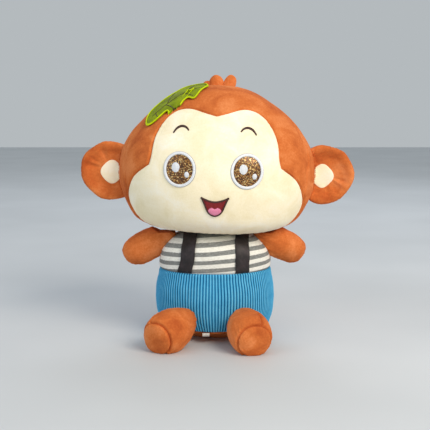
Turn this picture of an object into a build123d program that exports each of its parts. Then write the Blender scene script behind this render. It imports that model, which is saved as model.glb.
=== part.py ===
from build123d import *
from math import cos, hypot, radians, sin
from functools import cache
import os

# A sitting stuffed monkey, 30 cm tall, in millimetres. It stands on Z = 0, faces -Y, and its left
# and right here are the viewer's: "left" pieces have negative X. Each cover is a shell of fabric
# round a solid of fibre filling, and each limb has a ball root that turns in a socket.

# ---- fabric -------------------------------------------------------------------------------------
COVER = 1.8             # plush fabric with its pile
EASE = 0.3              # free gap between two nested pieces
JOINT_GAP = 0.5         # free gap between a limb and the body it turns in
BIG = 400.0             # reach of the cutting blocks, larger than the toy
SEAM_TURN = 37.0        # degrees that a turned limb's start edge is turned from the cuts

# ---- torso: radius and height of its outline, turned about Z and flattened front to back --------
TORSO_OUTLINE = [(46, 0), (57, 7), (64, 19), (68.5, 45), (67.5, 62), (64, 79), (63.5, 93),
                 (56, 106), (46, 114.5), (38, 118.5), (30, 121)]
TORSO_DEPTH = 0.88      # depth over width
BASE_SEAM_Z = 12.0      # hem of the trousers, where they meet the base panel
WAIST_SEAM_Z = 79.0     # trousers meet the shirt
STRAP_WIDTH = 15.5
STRAP_THICK = 1.0
STRAP_X = {"left": (-33.0, -27.0), "right": (28.0, 30.0)}     # at the waist, at the neck
NECK_SEAM_R = 31.0      # the straps end in this seam
LABEL_SIZE = (8.0, 0.5, 7.5)
LABEL_X = -10.0

# ---- neck: a ball that carries the head ---------------------------------------------------------
NECK_PIVOT = (0.0, 0.0, 118.0)
NECK_BALL_R = 29.5

# ---- head: outline as for the torso, from crown to neck -----------------------------------------
HEAD_OUTLINE = [(0, 287), (31, 285), (57, 274), (77, 258), (95, 237), (107, 217), (111.5, 193),
                (109, 173), (103, 159), (96, 147), (86, 136.5), (72, 128.5), (54, 124), (36, 125.5),
                (0, 127)]
HEAD_DEPTH = 0.78
HEAD_ROLL = 1.7         # degrees, crown towards +X
HEAD_YAW = -2.0         # degrees, face towards -X
HOOD_SEAM_Y = -30.0     # the front of the hood and the face end here, ahead of the ears
FOREHEAD = [(0, 253.4), (13, 256), (29, 258.6), (46.5, 254.5), (57, 246), (63, 237.5), (67, 229),
            (69.2, 218.6), (70.4, 208), (72.5, 199)]          # half of the face's top edge
CHEEK = [(72.5, 199), (78, 195), (84, 190.5), (90, 184.5), (93.5, 177), (94.6, 170), (94, 164),
         (90.5, 155.5), (84.5, 146.5), (79, 138)]

# ---- features sewn on the face, centres in the head's own X and Z -------------------------------
STITCH = 0.9            # height of an embroidered or sewn-on piece
EYE_CENTRE = (35.8, 195.8)
EYE_RING = (17.6, 19.2)                                       # radii across and up
IRIS = (14.7, 16.2)
GLINTS = [((-4.0, 2.0), (5.0, 6.2)), ((7.8, -5.1), (2.8, 3.5))]
BROW = [(44.8, 233.9), (35.1, 241.0), (27.8, 237.5)]
THREAD_LINE = 1.6
MOUTH_X = 1.4
MOUTH_TOP = [(-14.1, 166.5), (0, 162.4), (14.1, 166.5)]
MOUTH_JAW = [(14.1, 166.5), (10.2, 157.5), (6.6, 150.3), (0, 146.9), (-6.6, 150.3), (-10.2, 157.5),
             (-14.1, 166.5)]
TONGUE_TOP = [(-7.2, 151.5), (-3.2, 156.4), (0, 155.0), (3.2, 156.4), (7.2, 151.5)]

# ---- leaf on the crown: edge in the head's own X and Y, seen from above -------------------------
LEAF_EDGE = [(-77.5, -39), (-74.5, -42.8), (-68.2, -44.8), (-60.9, -42.8), (-54.5, -41.2),
             (-49.5, -48.5), (-45, -50.5), (-41, -45), (-36.5, -37.5), (-31.5, -35.8),
             (-26.3, -39), (-20, -31.5), (-12.5, -23), (-11, -17), (-19, -8), (-27, -5),
             (-33, -10), (-40, -4), (-48, 0), (-54, -7), (-57, -15), (-66, -17), (-73.5, -24),
             (-77.5, -32)]
LEAF_THICK = 1.2

# ---- tuft of hair: base centre, half width, height and lean of each lobe ------------------------
TUFT = {"left": (-6.5, 5.5, 8.0, -38.0), "middle": (1.5, 8.0, 14.0, 0.0),
        "right": (10.5, 6.5, 15.0, 24.0)}
TUFT_Y = 9.0
TUFT_DEPTH = 0.6        # depth of a lobe over its width

# ---- ears: a shallow dish turned about its own axis, held by an upright root --------------------
EAR_HINGE_X = 112.5
EAR_CENTRE_X = 122.0
EAR_CENTRE_Z = {"left": 186.5, "right": 189.5}
EAR_OUTLINE = [(0, -1), (12, -1.2), (22, -3.6), (28.5, -7.6), (32.5, -7.4), (33.5, -3.4),
               (30, 2.0), (20, 6.4), (10, 7.8), (0, 8)]       # radius, depth behind the rim
EAR_SPLIT = [(0, 3.2), (20, 1.2), (30, -3.2), (40, -7.0)]     # where front and back panels meet
EAR_INNER = (11.0, 13.5)                                      # radii of the pale patch
EAR_INNER_X = 118.0
EAR_ROOT = (6.4, 34.0)                                        # radius and height of the root
EAR_FOLD = 30.0

# ---- spheres that bulge as far as the body does beside a limb: centre and radius ---------------
TEMPLE_BULGE = ((-35.5, 0.0, 190.0), 76.5)                    # under the left ear
CHEST_BULGE = ((0.0, 0.0, 62.0), 71.4)                        # under the arms
BELLY_BULGE = ((0.0, 12.0, 45.0), 73.4)                       # behind the feet
SEAT_BULGE = ((0.0, -12.0, 45.0), 73.4)                       # ahead of the tail

# ---- arms: radius along the arm from its pivot, turned about the arm's axis ---------------------
ARM_PIVOT = (-57.0, -4.0, 105.0)                              # the left arm's
ARM_DROOP = 24.0        # degrees below level
ARM_OUTLINE = [(-8, 0), (-6, 8), (0, 13.5), (12, 16.0), (25, 17.2), (37, 16.6), (46, 12.8),
               (51, 7), (52.8, 0)]
ARM_ROOT_R = 15.0
ARM_SWING = (-8.0, 28.0)                                      # down, up

# ---- feet: radius along the foot from its pivot -------------------------------------------------
FOOT_PIVOT = (-29.0, -50.0, 24.5)                             # the left foot's
FOOT_YAW = {"left": 28.0, "right": 11.0}                      # degrees, toes outward
FOOT_OUTLINE = [(-8, 0), (-5, 9), (2, 16.2), (14, 21.8), (28, 24.3), (42, 23.7), (52, 20.8),
                (57.5, 17.4), (60.6, 11), (61.6, 0)]
FOOT_SOLE_AT = 55.5     # the sole's seam, from the pivot
FOOT_ROOT_R = 16.5
FOOT_LIFT = 22.0

# ---- tail: a soft tube that leaves the back low down and curls up -------------------------------
TAIL_PIVOT = (0.0, 58.5, 32.0)
TAIL_R = 7.5
TAIL_ROOT_R = 9.5
TAIL_BEND_R = 26.0
TAIL_REACH = 8.0        # straight run before the bend
TAIL_RISE = 26.0        # straight run after it
TAIL_WAG = 25.0


def block(x=(-BIG, BIG), y=(-BIG, BIG), z=(-BIG, BIG)):
    """A box between the given limits, used to keep one part of a larger solid."""
    sides = [high - low for low, high in (x, y, z)]
    centre = [(high + low) / 2 for low, high in (x, y, z)]
    return Pos(*centre) * Box(*sides)


def moved_outline(outline, distance):
    """The outline with each point moved along its outward normal; ends stay on the axis."""
    moved = []
    last = len(outline) - 1
    for index, (radius, height) in enumerate(outline):
        before = outline[max(index - 1, 0)]
        after = outline[min(index + 1, last)]
        run, rise = after[0] - before[0], after[1] - before[1]
        length = hypot(run, rise)
        shift = 0.0 if radius == 0 else -rise / length * distance
        moved.append((radius + shift, height + run / length * distance))
    return moved


def turned(points):
    """The outline turned once about Z."""
    bottom = min(points[0][1], points[-1][1])
    top = max(points[0][1], points[-1][1])
    curve = Spline(*[(radius, 0, height) for radius, height in points])
    edges = [curve]
    for radius, height in (points[0], points[-1]):
        if radius > 0:
            edges.append(Line((radius, 0, height), (0, 0, height)))
    edges.append(Line((0, 0, bottom), (0, 0, top)))
    return revolve(make_face(edges), Axis.Z)


def flattened(piece, depth):
    """The piece with its depth, front to back, scaled about the plane Y = 0."""
    return scale(piece, by=(1, depth, 1))


@cache
def round_torso(distance=0.0):
    """The torso before it is flattened, moved outward by distance."""
    upward = [(radius, height) for radius, height in reversed(TORSO_OUTLINE)]
    points = moved_outline(upward, distance)
    points[0] = (points[0][0], TORSO_OUTLINE[-1][1] + distance)
    points[-1] = (points[-1][0], -distance)
    return turned(points)


@cache
def round_head(distance=0.0):
    """The head before it is flattened, moved outward by distance."""
    return turned(moved_outline(HEAD_OUTLINE, distance))


def side_of(name):
    """-1 for a left piece and +1 for a right one."""
    return -1 if name == "left" else 1


def on_side(side_name, piece):
    """A piece drawn on the left, or its mirror image for the right."""
    return piece if side_name == "left" else mirror(piece, about=Plane.YZ)


def largest(piece):
    """The largest solid of a piece, without the chips that a cut leaves beside it."""
    return max(piece.solids(), key=lambda solid: solid.volume)


def lean(piece):
    """The head's small tilt and turn about the neck's pivot."""
    pivot = Pos(*NECK_PIVOT)
    return pivot * Rot(0, 0, HEAD_YAW) * Rot(0, HEAD_ROLL, 0) * pivot.inverse() * piece


def ball(side, radius):
    """A sphere whose start edge faces away from the limbs of side -1 or +1."""
    return Rot(0, 0, 90 + 90 * side) * Sphere(radius)


def less_swept(piece, side, bulge, extra, hinge, angles):
    """The piece less all that a bulge covers while the piece turns through the angles."""
    centre, radius = bulge
    for angle in angles:
        piece -= (Pos(*centre) * ball(side, radius + extra)).rotate(hinge, -angle)
    return piece


def on_its_side(side, point):
    """A point given for the left, on side -1 or +1."""
    return (-side * point[0], point[1], point[2])


def limb(side, outline, inset):
    """A limb's outline turned about Z, its tip up and its seam turned out of the way."""
    points = [(radius, along) for along, radius in outline]
    seam_turn = SEAM_TURN if side < 0 else 180 - SEAM_TURN
    return Rot(0, 0, seam_turn) * turned(moved_outline(points[::-1], -inset))


def arm_solid(side, inset=0.0):
    """One arm and its ball root, clear of the torso through its whole swing."""
    place = on_its_side(side, ARM_PIVOT)
    body = Pos(*place) * Rot(0, side * (90 + ARM_DROOP), 0) * limb(side, ARM_OUTLINE, inset)
    angles = [-side * angle for angle in (ARM_SWING[0], 0, ARM_SWING[1] / 2, ARM_SWING[1])]
    body = less_swept(body, side, CHEST_BULGE, JOINT_GAP + inset, Axis(place, (0, 1, 0)), angles)
    return body + Pos(*place) * ball(side, ARM_ROOT_R - inset)


def foot_turn(side, yaw):
    """Turns a foot drawn along +Z to point along its own direction on the floor."""
    return Pos(*on_its_side(side, FOOT_PIVOT)) * Rot(0, 0, side * yaw) * Rot(90, 0, 0)


def foot_solid(side, yaw, inset=0.0):
    """One foot and its ball root, clear of the torso through its whole lift."""
    place = on_its_side(side, FOOT_PIVOT)
    body = foot_turn(side, yaw) * limb(side, FOOT_OUTLINE, inset)
    hinge = Axis(place, (-cos(radians(yaw)), -side * sin(radians(yaw)), 0))
    angles = (0, FOOT_LIFT / 2, FOOT_LIFT)
    body = less_swept(body, side, BELLY_BULGE, JOINT_GAP + inset, hinge, angles)
    return body + Pos(*place) * ball(side, FOOT_ROOT_R - inset)


def ear_place(height):
    """The left ear's centre at a height: its dish opens towards -Y."""
    return Pos(-EAR_CENTRE_X, 0, height) * Rot(-90, 0, 0) * Rot(0, 0, SEAM_TURN)


def ear_root(height, radius, length):
    """The upright root at the left ear's hinge."""
    return Pos(-EAR_HINGE_X, 0, height) * Cylinder(radius, length)


def off_the_head(piece, gap):
    """The piece of a left ear less all that the head covers while the ear folds."""
    hinge = Axis((-EAR_HINGE_X, 0, 0), (0, 0, 1))
    angles = (-EAR_FOLD, -EAR_FOLD / 2, 0, EAR_FOLD / 2, EAR_FOLD)
    return less_swept(piece, -1, TEMPLE_BULGE, gap, hinge, angles)


def ear_solid(height, inset=0.0):
    """A left ear and its root, clear of the head through its whole fold."""
    dish = ear_place(height) * turned(moved_outline(EAR_OUTLINE[::-1], -inset))
    radius, length = EAR_ROOT
    root = ear_root(height, radius - inset, length - 2 * inset)
    return off_the_head(dish, JOINT_GAP + inset) + root


def tail_solid(inset=0.0):
    """The tail's tube, its ball root and its round end, clear of the torso as it wags."""
    straight = Line((0, 0), (TAIL_REACH, 0))
    bend = JernArc((TAIL_REACH, 0), (1, 0), TAIL_BEND_R, 90)
    rise = Line(bend @ 1, bend @ 1 + Vector(0, TAIL_RISE))
    side_plane = Plane(TAIL_PIVOT, x_dir=(0, 1, 0), z_dir=(1, 0, 0))
    section_plane = Plane(TAIL_PIVOT, x_dir=(1, 0, 0), z_dir=(0, -1, 0))
    radius = TAIL_R - inset
    path = side_plane * (straight + bend + rise)
    tube = sweep(section_plane * Circle(radius), path=path) + Pos(path @ 1) * Sphere(radius)
    hinge = Axis(TAIL_PIVOT, (0, 0, 1))
    tube = less_swept(tube, -1, SEAT_BULGE, JOINT_GAP + inset, hinge, (-TAIL_WAG, 0, TAIL_WAG))
    return tube + Pos(*TAIL_PIVOT) * Sphere(TAIL_ROOT_R - inset)


def outline_face(*curves):
    """A flat face inside curves that meet end to end, drawn with height as Y."""
    return make_face([edge for curve in curves for edge in curve.edges()])


def on_face(outline, low, high):
    """A piece of that outline, lying on the head's front between two heights above it."""
    prism = extrude(Plane.XZ * outline, BIG)
    return flattened((round_head(high) - round_head(low)) & prism, HEAD_DEPTH)


def mirrored(points):
    """The points of one half's curve, on the other half."""
    return [(-x, height) for x, height in points]


def face_outline():
    """The pale face as seen from the front: two lobes over the brows and two wide cheeks."""
    jaw_x = CHEEK[-1][0]
    right = [Spline(*FOREHEAD), Spline(*CHEEK)]
    left = [Spline(*mirrored(FOREHEAD)), Spline(*mirrored(CHEEK))]
    under = Polyline(CHEEK[-1], (jaw_x, 0), (-jaw_x, 0), mirrored(CHEEK)[-1])
    return outline_face(*right, *left, under)


def sockets():
    """The hollows in the torso that hold the roots of the limbs."""
    hollows = Pos(*TAIL_PIVOT) * Sphere(TAIL_ROOT_R + JOINT_GAP)
    for pivot, radius in ((ARM_PIVOT, ARM_ROOT_R), (FOOT_PIVOT, FOOT_ROOT_R)):
        hollow = Pos(*pivot) * Sphere(radius + JOINT_GAP)
        hollows += [hollow, mirror(hollow, about=Plane.YZ)]
    return hollows


def torso_parts():
    """Shirt, trousers, base, filling, straps and the blank care label."""
    hollows = sockets()
    cover = round_torso() - round_torso(-COVER)
    trousers = cover & block(z=(BASE_SEAM_Z, WAIST_SEAM_Z))
    shirt = cover & block(z=(WAIST_SEAM_Z, BIG))
    round_parts = {
        "torso_filling": round_torso(-COVER - EASE),
        "base_panel": cover & block(z=(-BIG, BASE_SEAM_Z)),
        "trousers_front": trousers & block(y=(-BIG, 0)),
        "trousers_back": trousers & block(y=(0, BIG)),
        "shirt_front": shirt & block(y=(-BIG, 0)),
        "shirt_back": shirt & block(y=(0, BIG)),
    }
    round_parts["base_panel"] += Pos(0, 0, -1 + COVER / 2) * Cylinder(TORSO_OUTLINE[0][0], 2 + COVER)
    parts = {name: flattened(piece, TORSO_DEPTH) - hollows for name, piece in round_parts.items()}
    parts["base_panel"] = parts["base_panel"] & block(z=(0, BIG))
    neck_hollow = Pos(*NECK_PIVOT) * Sphere(NECK_BALL_R + JOINT_GAP)
    over_shirt = (round_torso(0.1 + STRAP_THICK) - round_torso(0.1)) & block(z=(WAIST_SEAM_Z, BIG))
    over_shirt -= Pos(0, 0, TORSO_OUTLINE[-1][1]) * Cylinder(NECK_SEAM_R, 40)
    half = STRAP_WIDTH / 2
    for side_name, (waist_x, neck_x) in STRAP_X.items():
        band = Polyline((waist_x - half, WAIST_SEAM_Z), (waist_x + half, WAIST_SEAM_Z),
                        (neck_x + half, 130), (neck_x - half, 130), close=True)
        prism = Plane.XZ * outline_face(band)
        strap = over_shirt & extrude(prism, BIG, both=True)
        for name, half_space in (("front", block(y=(-BIG, 0))), ("back", block(y=(0, BIG)))):
            half_strap = flattened(strap & half_space, TORSO_DEPTH)
            parts[f"strap_{side_name}_{name}"] = half_strap - neck_hollow
    hem_y = -TORSO_DEPTH * 60.5
    width, thick, drop = LABEL_SIZE
    parts["care_label"] = Pos(LABEL_X, hem_y - 1.2, BASE_SEAM_Z - drop / 2) * Box(width, thick, drop)
    return parts


def neck_parts():
    """The ball of filling and its jersey sleeve that carry the head."""
    above = block(z=(TORSO_OUTLINE[-1][1] + JOINT_GAP, BIG))
    pivot = Pos(*NECK_PIVOT)
    sleeve = pivot * Sphere(NECK_BALL_R) - pivot * Sphere(NECK_BALL_R - COVER)
    return {
        "neck_sleeve": sleeve & above,
        "neck_filling": pivot * Sphere(NECK_BALL_R - COVER - EASE) & above,
    }


def hood_and_face():
    """The head's four panels and its filling, with the neck's socket and the ears' slots cut."""
    radius, height = EAR_ROOT
    hollows = Pos(*NECK_PIVOT) * Sphere(NECK_BALL_R + JOINT_GAP)
    for side_name, centre_z in EAR_CENTRE_Z.items():
        slot = ear_root(centre_z, radius + JOINT_GAP, height + 2 * JOINT_GAP)
        hollows += on_side(side_name, slot)
    cover = round_head() - round_head(-COVER)
    seam_y = HOOD_SEAM_Y / HEAD_DEPTH
    front = cover & block(y=(-BIG, seam_y))
    back = cover & block(y=(seam_y, BIG))
    face_prism = extrude(Plane.XZ * face_outline(), BIG)
    round_parts = {
        "face_panel": front & face_prism,
        "hood_front": front - face_prism,
        "hood_back_left": back & block(x=(-BIG, 0)),
        "hood_back_right": back & block(x=(0, BIG)),
        "head_filling": round_head(-COVER - EASE),
    }
    return {name: flattened(piece, HEAD_DEPTH) - hollows for name, piece in round_parts.items()}


def eye_parts(side_name):
    """White ring, glitter iris and its two glints; the glints aren't mirrored."""
    x, height = EYE_CENTRE
    centre = Pos(side_of(side_name) * x, height)
    iris = centre * Ellipse(*IRIS)
    glints = Sketch() + [centre * Pos(*place) * Ellipse(*radii) for place, radii in GLINTS]
    return {
        f"eye_ring_{side_name}": on_face(centre * Ellipse(*EYE_RING) - iris, 0.1, STITCH + 0.2),
        f"iris_{side_name}": on_face(iris, 0.1, STITCH - 0.2),
        f"eye_glints_{side_name}": on_face(glints, STITCH - 0.1, STITCH + 0.4),
    }


def brow_part(side_name):
    """One arched line of dark thread."""
    points = [(side_of(side_name) * x, height) for x, height in BROW]
    return on_face(trace(ThreePointArc(*points), THREAD_LINE), 0.1, STITCH)


def mouth_parts():
    """Open smiling mouth: thread outline, red lining and a two-lobed tongue."""
    centre = Pos(MOUTH_X, 0)
    edge = [ThreePointArc(*MOUTH_TOP), Spline(*MOUTH_JAW)]
    whole = outline_face(*edge)
    rim = trace(edge[0] + edge[1], THREAD_LINE)
    inside = whole - rim
    below = (MOUTH_JAW[3][0], MOUTH_JAW[3][1] - 10)
    tongue_edge = [Spline(*TONGUE_TOP), Polyline(TONGUE_TOP[-1], below, TONGUE_TOP[0])]
    tongue = outline_face(*tongue_edge) & inside
    return {
        "mouth_rim": on_face(centre * rim, 0.1, STITCH + 0.1),
        "mouth_lining": on_face(centre * inside, 0.1, 0.5),
        "tongue": on_face(centre * tongue, 0.6, STITCH),
    }


def leaf_part():
    """A felt leaf with three lobes a side, lying over the crown."""
    edge = Spline(*[(x, y / HEAD_DEPTH) for x, y in LEAF_EDGE], periodic=True)
    prism = extrude(Pos(0, 0, NECK_PIVOT[2]) * outline_face(edge), BIG)
    felt = round_head(EASE + LEAF_THICK) - round_head(EASE)
    return flattened(felt & prism & block(z=(HEAD_OUTLINE[6][1], BIG)), HEAD_DEPTH)


def tuft_lobe(x, half_width, rise, lean_angle, gap=0.0):
    """One lobe of hair, larger all round by a gap."""
    radii = (half_width + gap, half_width * TUFT_DEPTH + gap, rise + gap)
    place = Pos(x, TUFT_Y, HEAD_OUTLINE[0][1] - 2.5)
    return place * Rot(0, lean_angle, 0) * scale(Sphere(1), by=radii)


def tuft_parts():
    """Three soft lobes of hair sewn in at the crown."""
    scalp = flattened(round_head(EASE), HEAD_DEPTH)
    middle = tuft_lobe(*TUFT["middle"], gap=EASE)
    parts = {"tuft_middle": tuft_lobe(*TUFT["middle"]) - scalp}
    for side_name in ("left", "right"):
        lobe = tuft_lobe(*TUFT[side_name]) - middle
        parts[f"tuft_{side_name}"] = largest(lobe - scalp)
    return parts


def ear_parts(side_name):
    """Front and back panels, the pale inner patch and the filling of one ear."""
    height = EAR_CENTRE_Z[side_name]
    place = ear_place(height)
    edge = [(radius, 0, depth) for radius, depth in EAR_SPLIT]
    rim_x, deep = edge[-1][0], 40
    split = make_face([Spline(*edge), Polyline(edge[-1], (rim_x, 0, deep), (0, 0, deep), edge[0])])
    rear = place * revolve(split, Axis.Z)
    cover = ear_solid(height) - ear_solid(height, COVER)
    patch = extrude(Plane.XZ * (Pos(-EAR_INNER_X, height) * Ellipse(*EAR_INNER)), deep)
    raised = turned(moved_outline(EAR_OUTLINE[::-1], 0.1 + STITCH))
    raised = place * (raised - turned(moved_outline(EAR_OUTLINE[::-1], 0.1)))
    inner = off_the_head(raised & patch, JOINT_GAP)
    inner -= ear_root(height, EAR_ROOT[0] + 0.1, EAR_ROOT[1] + 0.2)
    return {
        f"ear_front_{side_name}": on_side(side_name, largest(cover - rear)),
        f"ear_back_{side_name}": on_side(side_name, largest(cover & rear)),
        f"ear_inner_{side_name}": on_side(side_name, inner),
        f"ear_filling_{side_name}": on_side(side_name, ear_solid(height, COVER + EASE)),
    }


def arm_parts(side_name):
    """Front and back panels and the filling of one arm."""
    side = side_of(side_name)
    cover = arm_solid(side) - arm_solid(side, COVER)
    seam_y = ARM_PIVOT[1]
    return {
        f"arm_front_{side_name}": cover & block(y=(-BIG, seam_y)),
        f"arm_back_{side_name}": cover & block(y=(seam_y, BIG)),
        f"arm_filling_{side_name}": arm_solid(side, COVER + EASE),
    }


def foot_parts(side_name):
    """Inner and outer uppers, the round sole and the filling of one foot."""
    side, yaw = side_of(side_name), FOOT_YAW[side_name]
    cover = foot_solid(side, yaw) - foot_solid(side, yaw, COVER)
    turn = foot_turn(side, yaw)
    beyond = turn * block(z=(FOOT_SOLE_AT, BIG))
    outer = turn * block(x=(-BIG, 0) if side < 0 else (0, BIG))
    upper = cover - beyond
    return {
        f"foot_inner_{side_name}": upper - outer,
        f"foot_outer_{side_name}": upper & outer,
        f"foot_sole_{side_name}": cover & beyond,
        f"foot_filling_{side_name}": foot_solid(side, yaw, COVER + EASE),
    }


def tail_parts():
    """Cover and filling of the tail."""
    return {
        "tail_cover": tail_solid() - tail_solid(COVER),
        "tail_filling": tail_solid(COVER + EASE),
    }


def head_parts():
    """Everything that rides on the head, before its lean."""
    parts = {**hood_and_face(), **mouth_parts(), **tuft_parts(), "leaf": leaf_part()}
    for side_name in ("left", "right"):
        parts.update(eye_parts(side_name))
        parts[f"brow_{side_name}"] = brow_part(side_name)
        parts.update(ear_parts(side_name))
    return parts


def all_parts():
    """Every sub-part of the toy by its name."""
    parts = {**torso_parts(), **neck_parts(), **tail_parts()}
    parts.update({name: lean(piece) for name, piece in head_parts().items()})
    for side_name in ("left", "right"):
        parts.update(arm_parts(side_name))
        parts.update(foot_parts(side_name))
    return parts


os.makedirs("parts", exist_ok=True)
for node, piece in all_parts().items():
    export_step(piece, f"parts/{node}.step")
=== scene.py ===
"""A sitting plush monkey: stuffed velour head, limbs and tail, knitted shirt, corduroy trousers.

All sizes are in millimetres, in the row frame: +Z is up and the face looks along -Y.
"""

import logging
from dataclasses import dataclass, field
from enum import Enum
from math import cos, pi, radians, sin

import bpy
import numpy as np
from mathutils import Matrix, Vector
from mathutils.bvhtree import BVHTree


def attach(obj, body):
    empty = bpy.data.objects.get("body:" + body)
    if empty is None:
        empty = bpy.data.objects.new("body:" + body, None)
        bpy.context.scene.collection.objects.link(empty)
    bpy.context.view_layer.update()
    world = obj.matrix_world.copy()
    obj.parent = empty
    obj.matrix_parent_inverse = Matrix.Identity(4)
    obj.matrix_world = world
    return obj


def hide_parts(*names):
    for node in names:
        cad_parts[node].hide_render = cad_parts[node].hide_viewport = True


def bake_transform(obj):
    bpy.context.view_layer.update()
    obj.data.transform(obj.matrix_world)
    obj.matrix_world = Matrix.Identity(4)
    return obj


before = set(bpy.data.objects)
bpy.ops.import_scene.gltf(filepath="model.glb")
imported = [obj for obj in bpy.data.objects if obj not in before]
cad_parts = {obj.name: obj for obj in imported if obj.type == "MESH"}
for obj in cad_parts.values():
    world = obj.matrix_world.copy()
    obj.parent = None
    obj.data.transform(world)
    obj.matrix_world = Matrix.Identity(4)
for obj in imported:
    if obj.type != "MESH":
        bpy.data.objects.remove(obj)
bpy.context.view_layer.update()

Array = np.ndarray
MM = 0.001
LOG = logging.getLogger("plush_monkey")
COVER = 1.6
PREFIX = "soft_"
FINE_STEPS = np.array([0.0, 0.5, 1.0, 1.6, 2.3, 3.2, 4.4])


class Side(Enum):
    """The toy's sides, as the viewer sees them, with the sign of X on each."""

    LEFT = -1
    RIGHT = 1

    @property
    def label(self) -> str:
        """The side's name as the CAD nodes have it."""
        return self.name.lower()


# ---------------------------------------------------------------- lines and forms


def spline(points: list, closed: bool = False, count: int = 600) -> Array:
    """A natural cubic spline through points.

    Args:
        points: the points, in the plane or in space.
        closed: whether the last point leads back to the first.
        count: how many points to return.

    Returns:
        Points evenly spaced along the curve.
    """
    knots = np.asarray(points, float)
    if closed:
        knots = np.vstack([knots, knots, knots, knots[:1]])
    steps = np.linalg.norm(np.diff(knots, axis=0), axis=1)
    time = np.concatenate([[0.0], np.cumsum(steps)])
    size = len(time)
    matrix, right = np.eye(size), np.zeros_like(knots)
    for i in range(1, size - 1):
        before, after = steps[i - 1], steps[i]
        matrix[i, i - 1 : i + 2] = before, 2 * (before + after), after
        right[i] = 6 * (
            (knots[i + 1] - knots[i]) / after - (knots[i] - knots[i - 1]) / before
        )
    bend = np.linalg.solve(matrix, right)
    low, high = (time[size // 3], time[2 * size // 3]) if closed else (0.0, time[-1])
    dense = np.linspace(low, high, 4 * count)
    i = np.clip(np.searchsorted(time, dense, side="right") - 1, 0, size - 2)
    step = steps[i][:, None]
    a, b = (time[i + 1] - dense)[:, None], (dense - time[i])[:, None]
    curve = (
        bend[i] * a**3 / (6 * step)
        + bend[i + 1] * b**3 / (6 * step)
        + (knots[i] / step - bend[i] * step / 6) * a
        + (knots[i + 1] / step - bend[i + 1] * step / 6) * b
    )
    return resample(curve, count)


def resample(curve: Array, count: int) -> Array:
    """A polyline's points spaced evenly along it.

    Args:
        curve: the polyline's points.
        count: how many points to return.

    Returns:
        The new points, from the first to the last.
    """
    run = run_along(curve)
    even = np.linspace(0.0, run[-1], count)
    return np.stack([np.interp(even, run, column) for column in curve.T], axis=1)


def run_along(curve: Array) -> Array:
    """The distance along a polyline at each of its points."""
    return np.concatenate([[0.0], np.cumsum(np.linalg.norm(np.diff(curve, axis=0), axis=1))])


def pick(curve: Array, share: Array) -> Array:
    """The points of an evenly spaced curve at shares of its length."""
    place = np.linspace(0.0, 1.0, len(curve))
    return np.stack([np.interp(share, place, column) for column in curve.T], axis=-1)


def unit(vectors: Array) -> Array:
    """Vectors scaled to length one."""
    return vectors / np.maximum(np.linalg.norm(vectors, axis=-1, keepdims=True), 1e-9)


def waves(points: Array, size: float, seed: int, count: int = 9) -> Array:
    """A smooth random field from -1 to 1, from plane waves in seeded directions.

    Args:
        points: where to read the field.
        size: the usual distance from one high place to the next.
        seed: fixes the field.
        count: how many waves are added up.

    Returns:
        The field at each point.
    """
    draw = np.random.RandomState(seed)
    total = np.zeros(points.shape[:-1])
    for _ in range(count):
        way = unit(draw.normal(size=3))
        length = size * draw.uniform(0.7, 1.5)
        total += np.sin(points @ way * (2 * pi / length) + draw.uniform(0, 2 * pi))
    return total / (0.6 * count)


def graded(start: float, stop: float, count: int, scale: float) -> Array:
    """Steps from start to stop that are finer at both ends, where the seams are.

    Args:
        start: the first value.
        stop: the last value.
        count: how many even steps lie between the fine ones.
        scale: what one millimetre is worth in the values.

    Returns:
        The values in order.
    """
    way = 1.0 if stop > start else -1.0
    fine = FINE_STEPS * scale * way
    middle = np.linspace(start + fine[-1], stop - fine[-1], count + 1)
    return np.concatenate([start + fine[:-1], middle, stop - fine[:-1][::-1]])


@dataclass(frozen=True)
class Form:
    """A stuffed form: a line of (radius, height) turned about an axis, then flattened.

    The axes are rows: the direction of turn zero, of a quarter turn, and the axis itself.
    """

    line: Array
    origin: Array
    axes: Array
    flat: float = 1.0

    @property
    def length(self) -> float:
        """The line's length from end to end."""
        return float(run_along(self.line)[-1])

    def base(self, share: Array, turn: Array) -> Array:
        """The bare surface at a share of the line and a turn about the axis.

        Args:
            share: the share of the outline, from its first point to its last.
            turn: the angle about the axis.

        Returns:
            Points of the bare surface.
        """
        radius, height = np.moveaxis(pick(self.line, share), -1, 0)
        across = (radius * np.cos(turn))[..., None] * self.axes[0]
        across = across + (self.flat * radius * np.sin(turn))[..., None] * self.axes[1]
        return self.origin + across + height[..., None] * self.axes[2]

    def outward(self, share: Array, turn: Array) -> Array:
        """The surface's outward direction.

        Args:
            share: the share of the outline, from its first point to its last.
            turn: the angle about the axis.

        Returns:
            Unit directions.
        """
        share = np.clip(share, 0.004, 0.996)
        along = self.base(share + 0.003, turn) - self.base(share - 0.003, turn)
        around = self.base(share, turn + 0.01) - self.base(share, turn - 0.01)
        way = unit(np.cross(along, around))
        middle = self.origin + pick(self.line, np.array([0.5]))[0][1] * self.axes[2]
        facing = np.sum(way * (self.base(share, turn) - middle), axis=-1, keepdims=True)
        return np.where(np.mean(facing) < 0, -way, way)

    def skin(self, share: Array, turn: Array, lift: Array) -> Array:
        """The surface lifted along its outward direction."""
        return self.base(share, turn) + self.outward(share, turn) * lift[..., None]

    def radius(self, share: Array) -> Array:
        """The turned radius at a share of the line."""
        return pick(self.line, share)[..., 0]

    def share_at(self, column: int, value: float, half: tuple = (0.0, 1.0)) -> float:
        """The share of the line where its radius (0) or height (1) is nearest a value."""
        low, high = (int(h * (len(self.line) - 1)) for h in half)
        found = np.argmin(np.abs(self.line[low : high + 1, column] - value))
        return (low + int(found)) / (len(self.line) - 1)


# ---------------------------------------------------------------- meshes


def only(*objects: bpy.types.Object) -> None:
    """Selects these objects alone and makes the first one active."""
    bpy.ops.object.select_all(action="DESELECT")
    for piece in objects:
        piece.select_set(True)
    bpy.context.view_layer.objects.active = objects[0]


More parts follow.
